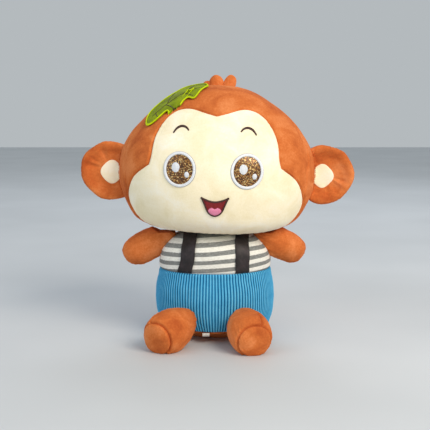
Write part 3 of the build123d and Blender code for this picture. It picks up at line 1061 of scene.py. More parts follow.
def lumpy(points: Array, seed: int) -> Array:
    """Points moved in and out a little, as loose filling lies under its cover.

    Args:
        points: the points to move.
        seed: the seed of the waves.

    Returns:
        The moved points.
    """
    centre = points.reshape(-1, 3).mean(0)
    depth = 0.9 * waves(points, 17.0, seed) + 0.5 * waves(points, 8.0, seed + 1)
    moved = points + unit(points - centre) * depth[..., None]
    moved[0], moved[-1] = moved[0].mean(0), moved[-1].mean(0)
    moved[:, -1] = moved[:, 0]
    return moved


# ---------------------------------------------------------------- embroidery


class Backing:
    """The cloth that embroidery and patches lie on, found by looking at it from one side."""

    def __init__(self, pieces: list[bpy.types.Object], place: object, away: Array, far: float) -> None:
        """Keeps the faces of the pieces.

        Args:
            pieces: the cloth that is looked at.
            place: gives the row-frame point of (across, up, towards the eye).
            away: the looking direction in the row frame.
            far: how far away the look starts.
        """
        corners: list = []
        faces: list = []
        for piece in pieces:
            start = len(corners)
            corners += [v.co[:] for v in piece.data.vertices]
            faces += [[start + i for i in p.vertices] for p in piece.data.polygons]
        self.tree = BVHTree.FromPolygons(corners, faces)
        self.place, self.away, self.far = place, unit(np.asarray(away, float)), far

    def lay(self, flat: Array, lift: Array) -> Array:
        """Points over the cloth.

        Args:
            flat: rows by columns of (across, up), in millimetres.
            lift: how far each point stands off the cloth.

        Returns:
            The points in the row frame, in millimetres.
        """
        shape = flat.shape[:2]
        found, normals = np.zeros((*shape, 3)), []
        for i in np.ndindex(shape):
            start = self.place(flat[i][0], flat[i][1], self.far)
            hit, normal, _, _ = self.tree.ray_cast(Vector(start * MM), Vector(self.away))
            if hit is None:
                hit, normal, _, _ = self.tree.find_nearest(Vector(start * MM))
            found[i] = np.array(hit) / MM
            normals.append(np.array(normal))
        off = unit(np.mean(normals, axis=0))
        off = off if off @ self.away < 0 else -off
        return found + off * lift[..., None]


def blob(
    name: str, backing: Backing, outline: Array, height: float, thread: float = 0.0,
    rows: int = 17, square: float = 0.55,
) -> bpy.types.Object:
    """A padded patch of satin stitch or cloth: flat below, domed above, round at its edge.

    Args:
        name: the piece's name.
        backing: the cloth that it is sewn to.
        outline: its closed edge, (across, up).
        height: how far its middle stands up.
        thread: the direction that the threads run in, in degrees.
        rows: rings from the middle of the top to the middle of the bottom.
        square: below one, the sides are steeper.

    Returns:
        The closed piece.
    """
    centre = (outline.min(0) + outline.max(0)) / 2
    angle = np.linspace(0, pi, rows)
    reach = np.abs(np.sin(angle)) ** square
    rise = np.sign(np.cos(angle)) * np.abs(np.cos(angle)) ** square
    flat = centre + reach[:, None, None] * (outline - centre)[None]
    dome = 1 - 0.35 * reach[:, None] ** 2
    lift = np.where(rise[:, None] > 0, rise[:, None] * height * dome, rise[:, None] * 0.5)
    lift = np.broadcast_to(lift, flat.shape[:2])
    across = np.array([-sin(radians(thread)), cos(radians(thread))])
    along = np.array([cos(radians(thread)), sin(radians(thread))])
    pattern = np.stack([flat @ across, flat @ along], axis=-1)
    piece = cloth_grid(name, backing.lay(flat, lift), pattern)
    smooth(piece, 60)
    return piece


def loop_band(
    name: str, backing: Backing, outer: Array, inner: Array, height: float,
) -> bpy.types.Object:
    """A closed band of satin stitch, its threads across it.

    Args:
        name: the piece's name.
        backing: the cloth that it is sewn to.
        outer: its closed outer edge.
        inner: its closed inner edge, point for point.
        height: how far it stands up.

    Returns:
        The closed piece, with the mark "rim" at its outer edge.
    """
    angle = np.linspace(0, 2 * pi, 17)
    across = (1 - np.cos(angle)) / 2
    flat = outer[None] + across[:, None, None] * (inner - outer)[None]
    rise = np.sin(angle)
    lift = np.where(rise > 0, height * np.abs(rise) ** 0.7, 0.5 * rise)
    run = run_along(outer)
    pattern = np.stack(np.broadcast_arrays(run[None], across[:, None] * 3), axis=-1)
    rim = np.clip(1.35 - across * 9, 0, 1)[:, None] * np.ones(len(outer))
    points = backing.lay(flat, np.broadcast_to(lift[:, None], flat.shape[:2]))
    piece = cloth_grid(name, points, pattern, {"rim": rim})
    smooth(piece, 60)
    return piece


def stroke(
    name: str, backing: Backing, path: Array, widths: Array, height: float,
) -> bpy.types.Object:
    """A line of satin stitch with round ends.

    Args:
        name: the piece's name.
        backing: the cloth that it is sewn to.
        path: the line's points.
        widths: half its width at each point, without the round ends.
        height: how far it stands up.

    Returns:
        The closed piece.
    """
    run = run_along(path)
    ends = np.clip(np.minimum(run, run[-1] - run) / np.maximum(widths, 0.05), 0, 1)
    round_off = np.sqrt(1 - (1 - ends) ** 2)
    way = unit(np.gradient(path, axis=0))
    normal = np.stack([-way[:, 1], way[:, 0]], axis=-1)
    angle = np.linspace(0, 2 * pi, 13)
    offset = (widths * round_off)[:, None] * np.cos(angle)[None]
    flat = path[:, None] + offset[..., None] * normal[:, None]
    rise = np.sin(angle)
    lift = np.where(rise > 0, height * rise, 0.4 * rise)[None] * round_off[:, None]
    pattern = np.stack(np.broadcast_arrays(run[:, None], np.cos(angle)[None]), axis=-1)
    piece = cloth_grid(name, backing.lay(flat, lift), pattern)
    smooth(piece, 60)
    return piece


def ellipse(centre: tuple, radii: tuple, count: int = 97) -> Array:
    """A closed ellipse's points."""
    angle = np.linspace(0, 2 * pi, count)
    return np.stack([centre[0] + radii[0] * np.cos(angle), centre[1] + radii[1] * np.sin(angle)], -1)


@dataclass
class Features:
    """Eyes, brows and mouth, embroidered on the face."""

    eye: tuple = (35.8, 195.8)
    eye_shift: float = -1.2
    ring: tuple = (17.6, 19.2)
    iris: tuple = (14.7, 16.2)
    glints: tuple = (((-4.0, 2.0), (5.0, 6.2)), ((7.8, -5.1), (2.8, 3.5)))
    brow: tuple = ((44.6, 233.4), (41.2, 238.3), (35.4, 241.2), (30.6, 240.0), (27.6, 236.6))
    mouth_top: tuple = ((-14.1, 166.5), (0, 162.4), (14.1, 166.5))
    mouth_jaw: tuple = (
        (14.1, 166.5), (10.2, 157.5), (6.6, 150.3), (0, 146.9), (-6.6, 150.3), (-10.2, 157.5),
        (-14.1, 166.5),
    )
    mouth_x: float = 1.4
    tongue: tuple = (
        (-7.2, 151.8), (-5.8, 155.2), (-3.0, 156.4), (0, 154.9), (3.0, 156.4), (5.8, 155.2),
        (7.2, 151.8), (4.6, 148.9), (0, 147.4), (-4.6, 148.9),
    )

    def build(self, stock: Wardrobe, head: Head, face: bpy.types.Object) -> None:
        """Sews every feature on.

        Args:
            stock: the finished materials.
            head: gives the face's place and lean.
            face: the face panel.
        """
        looking = head.place_way(np.array([0.0, 1.0, 0.0]))
        backing = Backing([face], lambda x, z, far: head.place(np.array([x, -far, z])), looking, 220.0)
        for side in Side:
            self.build_eye(stock, backing, side)
        self.build_mouth(stock, backing)

    def build_eye(self, stock: Wardrobe, backing: Backing, side: Side) -> None:
        """One eye with its ring, glitter iris, glints and brow.

        Args:
            stock: the finishes that the pieces are dressed in.
            backing: the surface that the stitches lie on.
            side: which side of the toy it is on.
        """
        x, z = side.value * self.eye[0] + self.eye_shift, self.eye[1]
        inner = tuple(r - 0.4 for r in self.iris)
        ring = loop_band(
            f"eye_ring_{side.label}", backing, ellipse((x, z), self.ring), ellipse((x, z), inner), 1.5,
        )
        dress(ring, stock.white, (ring.name,), "head")
        iris = blob(f"iris_{side.label}", backing, ellipse((x, z), self.iris), 1.3, rows=25, square=0.4)
        dress(iris, stock.glitter, (iris.name,), "head")
        spots = [
            blob(f"glint_{side.label}_{i}", backing, ellipse((x + dx, z + dz), radii, 49), 2.0, 90.0)
            for i, ((dx, dz), radii) in enumerate(self.glints)
        ]
        glints = joined(f"eye_glints_{side.label}", spots)
        dress(glints, stock.glint, (glints.name,), "head")
        path = spline([(side.value * a + self.eye_shift, b) for a, b in self.brow], count=48)
        widths = 0.55 + 0.75 * np.sin(np.linspace(0.25, pi - 0.35, 48)) ** 1.2
        brow = stroke(f"brow_{side.label}", backing, path, widths, 0.9)
        dress(brow, stock.dark, (brow.name,), "head")

    def build_mouth(self, stock: Wardrobe, backing: Backing) -> None:
        """The red lining, the tongue and the dark line round them.

        Args:
            stock: the finishes that the pieces are dressed in.
            backing: the surface that the stitches lie on.
        """
        shift = np.array([self.mouth_x, 0.0])
        top, jaw = spline(self.mouth_top, count=60) + shift, spline(self.mouth_jaw, count=90) + shift
        edge = resample(np.vstack([top, jaw[1:]]), 121)
        lining = blob("mouth_lining", backing, edge, 0.7, 90.0)
        dress(lining, stock.red, ("mouth_lining",), "head")
        tongue = blob("tongue", backing, spline(self.tongue, closed=True, count=97) + shift, 1.4, 0.0)
        dress(tongue, stock.pink, ("tongue",), "head")
        upper = stroke("lip_upper", backing, top, np.full(60, 0.85), 1.5)
        lower = stroke("lip_lower", backing, jaw, np.full(90, 0.95), 1.5)
        dots = [
            blob(f"lip_end_{i}", backing, ellipse((x, 166.5), (1.25, 1.15), 25), 1.5)
            for i, x in enumerate((self.mouth_x - 14.1, self.mouth_x + 14.1))
        ]
        rim = joined("mouth_rim", [upper, lower, *dots])
        dress(rim, stock.dark, ("mouth_rim",), "head")


# ---------------------------------------------------------------- leaf and tuft


@dataclass
class Leaf:
    """The felt leaf over the crown, with its bright edge and stitched veins."""

    front: tuple = (
        (-77.5, -35.5), (-75.5, -41.5), (-68.2, -44.8), (-60.9, -42.8), (-54.5, -41.2), (-49.5, -48.5),
        (-45, -50.5), (-41, -45), (-36.5, -37.5), (-31.5, -35.8), (-26.3, -39), (-20, -31.5), (-11, -20),
    )
    back: tuple = (
        (-77.5, -35.5), (-76.5, -27), (-71, -18), (-63, -13), (-56, -8), (-48, -4), (-40, -4), (-32, -5),
        (-24, -5), (-16, -9), (-11, -20),
    )
    veins: tuple = (
        ((-72, -34), (-50, -27), (-30, -22), (-13, -20)), ((-57, -29), (-50, -38), (-46, -44)),
        ((-55, -27), (-52, -16), (-48, -7)), ((-37, -24), (-32, -30), (-27, -34)),
        ((-36, -23), (-31, -16), (-27, -10)), ((-67, -33), (-66, -38), (-64, -41)),
    )
    columns: int = 140
    rows: int = 40

    def build(self, stock: Wardrobe, head: Head, hood: list[bpy.types.Object]) -> None:
        """Lays the leaf over the hood, and sews its edge and veins.

        Args:
            stock: the finishes that the pieces are dressed in.
            head: the head that it belongs to.
            hood: the hood's panels, which the leaf lies on.
        """
        looking = head.place_way(np.array([0.0, 0.0, -1.0]))
        backing = Backing(hood, lambda x, y, far: head.place(np.array([x, y, far])), looking, 330.0)
        front, back = spline(self.front, count=self.columns), spline(self.back, count=self.columns)
        share = np.linspace(0, 1, self.rows)[:, None, None]
        flat = front[None] + share * (back - front)[None]
        width = np.linalg.norm(back - front, axis=1)[None]
        edge = np.minimum(share[..., 0], 1 - share[..., 0]) * width
        edge = np.clip(np.minimum(edge, np.minimum(flat[..., 0] + 78.5, -10.0 - flat[..., 0])), 0, None)
        lift = 1.5 + 1.1 * np.exp(-edge / 3.0) + 0.35 * waves(np.dstack([flat, 0 * flat[..., :1]]), 22.0, 31)
        points = backing.lay(flat, lift)
        felt = cloth_grid("leaf", points, flat, outward=-looking)
        modify(felt, "SOLIDIFY", thickness=1.1 * MM, offset=-1.0, use_rim=True)
        smooth(felt, 60)
        outline = np.vstack([front, back[::-1][1:]])
        cord = self.raised_line("leaf_edge", backing, outline, 0.75, 2.7)
        dress(cord, stock.lime, (), "head")
        lines = [
            self.raised_line(f"vein_{i}", backing, spline(vein, count=40), 0.32, 1.75)
            for i, vein in enumerate(self.veins)
        ]
        veins = joined("leaf_veins", lines)
        dress(veins, stock.dark, (), "head")
        dress(felt, stock.felt, ("leaf",), "head")

    @staticmethod
    def raised_line(name: str, backing: Backing, path: Array, radius: float, lift: float) -> bpy.types.Object:
        """A round line of thread or rolled edge that stands on the felt.

        Args:
            name: the name of the piece.
            backing: the surface that the stitches lie on.
            path: the line's points, as seen from the front.
            radius: the radius of the line or tube.
            lift: how far the line's middle stands off the cover.

        Returns:
            The line.
        """
        way = unit(np.gradient(path, axis=0))
        normal = np.stack([-way[:, 1], way[:, 0]], axis=-1)
        angle = np.linspace(0, 2 * pi, 11)
        ends = np.ones(len(path))
        ends[0] = ends[-1] = 0.0
        offset = (radius * ends)[:, None] * np.cos(angle)[None]
        flat = path[:, None] + offset[..., None] * normal[:, None]
        height = lift + 0.9 * radius * np.sin(angle)[None] * ends[:, None]
        piece = cloth_grid(name, backing.lay(flat, np.broadcast_to(height, flat.shape[:2])))
        smooth(piece, 80)
        return piece


@dataclass
class Tuft:
    """Three soft lobes of hair on the crown: place, half width, rise and lean of each."""

    lobes: dict = field(default_factory=lambda: {
        "left": (-11.5, 5.5, 8.0, -48.0), "middle": (-3.6, 8.8, 13.6, -4.0), "right": (9.6, 7.2, 15.0, 22.0),
    })
    depth: float = 0.6
    centre: tuple = (9.0, 284.5)

    def build(self, stock: Wardrobe, head: Head) -> None:
        """Stuffs the three lobes.

        Args:
            stock: the finishes that the pieces are dressed in.
            head: the head that it belongs to.
        """
        for name, (x, half, rise, lean) in self.lobes.items():
            angle, turn = np.linspace(0, pi, 33)[:, None], np.linspace(0, 2 * pi, 49)[None]
            plump = np.sin(angle) * (1 + 0.12 * np.cos(angle))
            edge = np.abs(np.sin(turn))
            shape = np.stack(np.broadcast_arrays(
                half * plump * np.cos(turn), half * self.depth * plump * np.sin(turn) * (0.85 + 0.15 * edge),
                rise * np.cos(angle) + 0 * turn,
            ), -1)
            shape = shape + (0.45 * waves(shape, 9.0, 40 + int(x)))[..., None] * unit(shape)
            shape[0], shape[-1] = shape[0].mean(0), shape[-1].mean(0)
            shape[:, -1] = shape[:, 0]
            a = radians(lean)
            tilt = np.array([[cos(a), 0, sin(a)], [0, 1, 0], [-sin(a), 0, cos(a)]])
            points = head.place(shape @ tilt.T + np.array([x, self.centre[0], self.centre[1]]))
            piece = cloth_grid(f"tuft_{name}", points)
            smooth(piece, 180)
            dress(piece, stock.brown, (piece.name,), "head")


# ---------------------------------------------------------------- ears


@dataclass
class Ear:
    """A cupped, stuffed ear with a rolled rim, radiating creases and a pale patch."""

    side: Side
    height: float
    outline: tuple = (
        (0, -1), (12, -1.2), (22, -3.6), (28.5, -7.6), (32.5, -7.4), (33.5, -3.4), (30, 2), (20, 6.4),
        (10, 7.8), (0, 8),
    )
    centre_x: float = 122.0
    hinge_x: float = 112.5
    rim_share: float = 0.53
    patch: tuple = (12.5, 13.0)
    patch_x: float = 120.2
    patch_drop: float = -2.0

    def build(self, stock: Wardrobe, head: Head) -> None:
        """Builds the front, the back, the patch and the filling.

        Args:
            stock: the finishes that the pieces are dressed in.
            head: the head that it belongs to.
        """
        local = np.array([self.side.value * self.centre_x, 0.0, self.height])
        axes = np.array([[1.0, 0, 0], [0, 0, 1.0], [0, 1.0, 0]]) @ head.turn.T
        form = Form(spline(self.outline), head.place(local), axes)
        fine = graded(self.rim_share, 1.0, 26, 1 / form.length)
        front_rows = np.linspace(0, 1, 50)[:-6] * self.rim_share
        front_rows = np.concatenate([front_rows, self.rim_share - FINE_STEPS[::-1] / form.length])
        turns = np.linspace(0, 2 * pi, 193)
        name = self.side.label
        start = head.place(np.array([self.side.value * (self.hinge_x - 1.0), 0, self.height]))
        end = head.place(np.array([self.side.value * (self.hinge_x + 11.0), 0, self.height]))
        for part, rows in (("ear_front", np.unique(front_rows)), ("ear_back", fine)):
            points = self.surface(form, rows[:, None], turns[None])
            points = self.off_head(head, points)
            ahead = 2.0 if part == "ear_front" else -2.0
            piece = panel(f"{part}_{name}", points, form.origin + ahead * axes[2])
            dress(piece, stock.brown, (piece.name,), "")
            if part == "ear_front":
                front = piece
            else:
                back = piece
        patch = self.build_patch(stock, head, front)
        rows, columns = np.broadcast_arrays(np.linspace(0, 1, 40)[:, None], np.linspace(0, 2 * pi, 61)[None])
        inside = self.off_head(head, self.surface(form, rows, columns, COVER + 1.2), 2.5)
        filling = cloth_grid(f"ear_filling_{name}", inside)
        smooth(filling, 180)
        dress(filling, stock.fibre, (filling.name,), "")
        for piece in (front, back, patch, filling):
            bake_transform(piece)

    def surface(self, form: Form, share: Array, turn: Array, inset: float = 0.0) -> Array:
        """The cupped surface with its creases and its seam behind the rim.

        Args:
            form: the ear's form.
            share: the share of the outline, from its first point to its last.
            turn: the angle about the axis.
            inset: how far inside the cover the points lie.

        Returns:
            Points of the surface.
        """
        share, turn = np.broadcast_arrays(share, turn)
        bare = form.base(share, turn)
        radius = form.radius(share)
        seed = 50 + self.side.value
        draw = np.random.RandomState(seed)
        front = np.clip((self.rim_share * 0.86 - share) / 0.12, 0, 1)
        reach = np.clip((radius - 10) / 9, 0, 1) * front
        bend = turn + 0.25 * np.sin(2 * turn + 1.0)
        creases = sum(
            a * np.sin(n * bend + draw.uniform(0, 2 * pi)) for n, a in ((5, 0.5), (9, 0.55), (14, 0.35))
        )
        lift = 0.95 * creases * reach + 0.7 * waves(bare, 26.0, seed)
        seam = Seam(1.2, 0.5, 0.4, 6.0, seed)
        lift += seam.lift(np.abs(share - self.rim_share) * form.length, turn * radius)
        grow = 1 + 0.022 * np.sin(3 * turn + 0.7 * self.side.value) + 0.012 * np.sin(7 * turn + 2)
        points = form.skin(share, turn, lift - inset)
        return form.origin + (points - form.origin) * grow[..., None]

    @staticmethod
    def off_head(head: Head, points: Array, gap: float = 0.6) -> Array:
        """Points inside the head brought out to just inside its cover.

        Args:
            head: the head that it belongs to.
            points: the points to move.
            gap: how far inside the cover they end up.

        Returns:
            The moved points.
        """
        local = (points - NECK) @ head.turn + NECK
        down = 460  # of the outline's 600 points, those from the crown to the jaw
        shares = np.linspace(0, (down - 1) / 599, down)
        share = np.interp(-local[..., 2], -head.form.line[:down, 1], shares)
        radius = head.form.radius(share) - gap
        reach = np.hypot(local[..., 0], local[..., 1] / head.flat)
        grow = np.maximum(1.0, radius / np.maximum(reach, 1.0))
        local[..., 0] *= grow
        local[..., 1] *= grow
        return head.place(local)

    def build_patch(self, stock: Wardrobe, head: Head, front: bpy.types.Object) -> bpy.types.Object:
        """The pale patch sewn into the dish, rounder towards the rim.

        Args:
            stock: the finishes that the pieces are dressed in.
            head: the head that it belongs to.
            front: the front panel that it is sewn to.

        Returns:
            The patch.
        """
        looking = head.place_way(np.array([0.0, 1.0, 0.0]))
        backing = Backing([front], lambda x, z, far: head.place(np.array([x, -far, z])), looking, 60.0)
        angle = np.linspace(0, 2 * pi, 97)
        square = 1 + 0.05 * np.cos(4 * angle)
        edge = np.stack([
            self.side.value * self.patch_x + self.patch[0] * np.cos(angle) * square,
            self.height + self.patch_drop + self.patch[1] * np.sin(angle) * square,
        ], -1)
        patch = blob(f"ear_inner_{self.side.label}", backing, edge, 1.5, rows=21, square=0.45)
        dress(patch, stock.cream, (patch.name,))
        return patch


# ---------------------------------------------------------------- torso


@dataclass
class Torso:
    """The stuffed body: shirt above, corduroy trousers below, a velour base under it."""

    outline: tuple = (
        (46, 0), (57, 7), (64, 19), (68.5, 45), (67.5, 62), (65.0, 79), (65.5, 93), (62.5, 105),
        (55.5, 112.8), (45, 118.0), (30, 120.8),
    )
    flat: float = 0.88
    base_z: float = 12.0
    waist_z: float = 79.0
    neck_r: float = 31.0
    wales: int = 62
    wale_columns: int = 8
    straps: dict = field(default_factory=lambda: {Side.LEFT: (-33.0, -27.0), Side.RIGHT: (29.3, 30.8)})
    strap_width: float = 15.5
    arm_root: tuple = (57.0, -4.0, 105.0)

    def __post_init__(self) -> None:
        """Works out the torso's form."""
        self.form = Form(spline(self.outline), np.zeros(3), np.eye(3), self.flat)
        self.base_share = self.form.share_at(1, self.base_z)
        self.waist_share = self.form.share_at(1, self.waist_z)

    def lift(self, share: Array, turn: Array) -> Array:
        """The seams at the waist, hem and sides, the dips at the limbs and soft unevenness.

        Args:
            share: the share of the outline, from its first point to its last.
            turn: the angle about the axis.

        Returns:
            How far each point stands off the bare surface.
        """
        bare = self.form.base(share, turn)
        size = self.form.length
        around = turn * 62.0
        lift = 0.8 * waves(bare, 55.0, 61) + 0.25 * waves(bare, 20.0, 62)
        lift += Seam(1.3, 1.2, 0.35, 9.0, 63).lift(np.abs(share - self.waist_share) * size, around)
        lift += Seam(1.3, 1.0, 0.3, 7.0, 64).lift(np.abs(share - self.base_share) * size, around)
        sides = np.minimum(np.abs(np.sin(turn)), 1.0) * self.form.radius(share)
        lift += Seam(0.8, 0.5, 0.2, 9.0, 65).lift(sides, share * size)
        for side in Side:
            root = np.array([side.value * self.arm_root[0], *self.arm_root[1:]])
            away = np.linalg.norm(bare - root, axis=-1)
            lift -= 1.6 * np.exp(-(((away - 15.5) / 3.6) ** 2))
        return lift

    def tuck(self, height: Array) -> Array:
        """How much narrower the seat is than the outline, below the trousers' hem."""
        return 1 - 0.36 * np.clip((self.base_z - 0.8 - height) / 10.0, 0, 1) ** 0.55

    def build(self, stock: Wardrobe) -> None:
        """Builds the covers, the filling, the straps and the label.

        Args:
            stock: the finishes that the pieces are dressed in.
        """
        middle = np.array([0.0, 0.0, 55.0])
        jersey = []
        for name, start in (("front", -pi), ("back", 0.0)):
            self.build_trousers(stock, name, start, middle)
            jersey.append(self.build_shirt(stock, name, start, middle))
        self.build_base(stock)
        rows, columns = np.broadcast_arrays(np.linspace(0, 1, 50)[:, None], np.linspace(-pi, pi, 81)[None])
        cover = self.form.skin(rows, columns, self.lift(rows, columns) - COVER - 2.0)
        cover[..., :2] *= self.tuck(cover[..., 2] - 2.0)[..., None]
        cover[..., 2] = np.clip(cover[..., 2], 2.6, 118.5)
        ends = [cover[i : i + 1] * s + (1 - s) * cover[i : i + 1].mean((0, 1)) for i, s in
                ((0, 0.0), (0, 0.5), (-1, 0.5), (-1, 0.0))]
        filling = cloth_grid("torso_filling", lumpy(np.vstack([*ends[:2], cover, *ends[2:]]), 71))
        smooth(filling, 180)
        dress(filling, stock.fibre, ("torso_filling",), "torso")
        for side, places in self.straps.items():
            self.build_strap(stock, side, places)
        self.build_label(stock)

    def build_trousers(self, stock: Wardrobe, name: str, start: float, middle: Array) -> None:
        """One half of the trousers, its corduroy ridges in the mesh.

        Args:
            stock: the finishes that the pieces are dressed in.
            name: the half, front or back.
            start: the turn at which the half starts.
            middle: a point inside the piece.
        """
        count = self.wales * self.wale_columns
        phase = np.arange(count + 1) / self.wale_columns
        turn = start + pi * phase[None] / self.wales
        rows = graded(self.base_share, self.waist_share, 22, 1 / self.form.length)[:, None]
        share, turn = np.broadcast_arrays(rows, turn)
        low = np.clip((0.30 - share) / 0.25, 0, 1)
        lean = np.sin(2 * (turn - start)) * 0.085 * low**1.3
        swing = 0.006 * waves(self.form.base(share, turn), 26.0, 72)
        ridge = np.abs(np.sin(pi * phase))[None] ** 0.7 * np.ones_like(share)
        edge = np.minimum(share - self.base_share, self.waist_share - share) * self.form.length
        height = 0.95 * np.clip(0.35 + edge / 2.5, 0, 1)
        over = 0.7 * np.exp(-(self.waist_share - share) * self.form.length / 2.0)
        ends = np.minimum(phase, self.wales - phase)[None]
        swing = (swing + (lean if name == "front" else 0)) * np.clip(ends / 4, 0, 1)
        points = self.form.skin(share, turn + swing, self.lift(share, turn) + (ridge - 0.6) * height + over)
        pattern = np.stack([turn * 62.0, share * self.form.length], -1)
        # The "wale" mark also sets the corduroy's colour: painted shade in the grooves and a painted
        # highlight on the ridge tops.
        piece = panel(f"trousers_{name}", points, middle, pattern, {"wale": ridge}, 1.4)
        dress(piece, stock.corduroy, (piece.name,), "torso")

    def build_shirt(self, stock: Wardrobe, name: str, start: float, middle: Array) -> bpy.types.Object:
        """One half of the shirt, its stripes counted from the waist up.

        Args:
            stock: the finishes that the pieces are dressed in.
            name: the half, front or back.
            start: the turn at which the half starts.
            middle: a point inside the piece.

        Returns:
            The half.
        """
        top = self.form.share_at(0, self.neck_r, (0.5, 1.0))
        rows = graded(self.waist_share, top, 40, 1 / self.form.length)[:, None]
        turn = graded(start, start + pi, 150, 1 / 62.0)[None]
        share, turn = np.broadcast_arrays(rows, turn)
        points = self.form.skin(share, turn, self.lift(share, turn))
        pull = 0.5 * waves(points, 34.0, 73)
        stripe = points[..., 2] - 0.08 * points[..., 0] * (1 if name == "front" else 0) + pull
        pattern = np.stack([turn * 62.0, share * self.form.length], -1)
        piece = panel(f"shirt_{name}", points, middle, pattern, {"row": stripe}, 1.2)
        return dress(piece, stock.jersey, (piece.name,), "torso")

    def build_base(self, stock: Wardrobe) -> None:
        """The round velour panel that the toy sits on.

        Args:
            stock: the finishes that the pieces are dressed in.
        """
        turn = np.linspace(-pi, pi, 181)[None]
        hem = self.base_share - FINE_STEPS[:3][::-1] / self.form.length
        rows = np.concatenate([np.linspace(0, self.base_share, 16)[:-1], hem])
        share, around = np.broadcast_arrays(np.unique(rows)[:, None], turn)
        wall = self.form.skin(share, around, self.lift(share, around))
        wall[..., :2] *= self.tuck(wall[..., 2])[..., None]
        inner = [wall[:1] * np.array([s, s, 1.0]) for s in np.linspace(0, 0.96, 16)]
        points = np.vstack([*inner, wall])
        points[..., 2] = np.clip(points[..., 2], 0.15, None)
        piece = panel("base_panel", points, np.array([0.0, 0.0, 55.0]))
        dress(piece, stock.brown, ("base_panel",), "torso")

    def build_strap(self, stock: Wardrobe, side: Side, places: tuple) -> None:
        """A strap from the front waist over the shoulder to the back waist, in two halves.

        Args:
            stock: the finishes that the pieces are dressed in.
            side: which side of the toy it is on.
            places: the strap's X at the waist and at the neck.
        """
        low, high = places
        columns = np.linspace(-0.5, 0.5, 15) * self.strap_width
        shares = np.linspace(self.waist_share + 0.4 / self.form.length, 1.0, 500)
        lines = {"front": [], "back": []}
        for across in columns:
            height = pick(self.form.line, shares)[:, 1]
            rise = (height - self.waist_z) / (121.0 - self.waist_z)
            wave = 0.7 * np.sin(rise * 5.3 + side.value) + 0.4 * np.sin(rise * 11.0 + 2 * side.value)
            x = low + (high - low) * rise + across * (1 - 0.06 * np.sin(rise * pi)) + wave
            radius = self.form.radius(shares)
            keep = radius > np.maximum(np.abs(x) + 0.2, self.neck_r)
            last = int(np.argmin(keep)) if not keep.all() else len(keep)
            x, share = x[:last], shares[:last]
            turn = -np.arccos(np.clip(x / radius[:last], -1, 1))
            curl = 0.5 * (across / columns[-1]) ** 4
            ripple = 0.45 * np.sin(rise[:last] * 9 + across * 0.3 + side.value)
            lift = self.lift(share, turn) + 1.5 + curl + ripple
            lift -= 0.9 * np.exp(-(share - self.waist_share) * self.form.length / 3.0)
            front = self.form.skin(share, turn, lift)
            lines["front"].append(resample(front, 60))
            lines["back"].append(resample(front * np.array([1.0, -1.0, 1.0]), 60))
        for half, curves in lines.items():
            points = np.array(curves).transpose(1, 0, 2)
            pattern = np.stack(np.broadcast_arrays(columns[None], np.linspace(0, 48, 60)[:, None]), -1)
            outward = np.array([0.0, -1.0 if half == "front" else 1.0, 0.3])
            strap = cloth_grid(f"strap_{side.label}_{half}", points, pattern, outward=outward)
            modify(strap, "SOLIDIFY", thickness=0.9 * MM, offset=-1.0, use_rim=True)
            smooth(strap)
            dress(strap, stock.twill, (strap.name,), "torso")

    def build_label(self, stock: Wardrobe) -> None:
        """A blank satin label, folded in half and sewn into the hem.

        Args:
            stock: the finishes that the pieces are dressed in.
        """
        drop, width, centre = 2.6, 7.8, -10.0
        path = np.array([
            (0.5, 0.6), (0.3, -drop * 0.7), (1.4, -drop), (6.2, -drop - 1.6), (6.0, -drop - 2.2),
            (1.0, -drop - 0.7), (-0.5, -drop * 0.7), (-0.4, 0.6),
        ])
        path = resample(path, 40)
        x = np.linspace(-0.5, 0.5, 13) * width
        y = -54.3 + path[:, 0][:, None] + 0.25 * np.sin(x / 2.2)[None]
        z = 12.2 + path[:, 1][:, None]
        points = np.stack(np.broadcast_arrays(x[None] + centre, y, z), -1)
        pattern = points[..., [2, 0]].copy()
        label = cloth_grid("care_label", points, pattern, outward=np.array([0.0, -1.0, 0.0]))
        modify(label, "SOLIDIFY", thickness=0.25 * MM, offset=0.0, use_rim=True)
        smooth(label)
        dress(label, stock.label, ("care_label",), "torso")


# ---------------------------------------------------------------- limbs


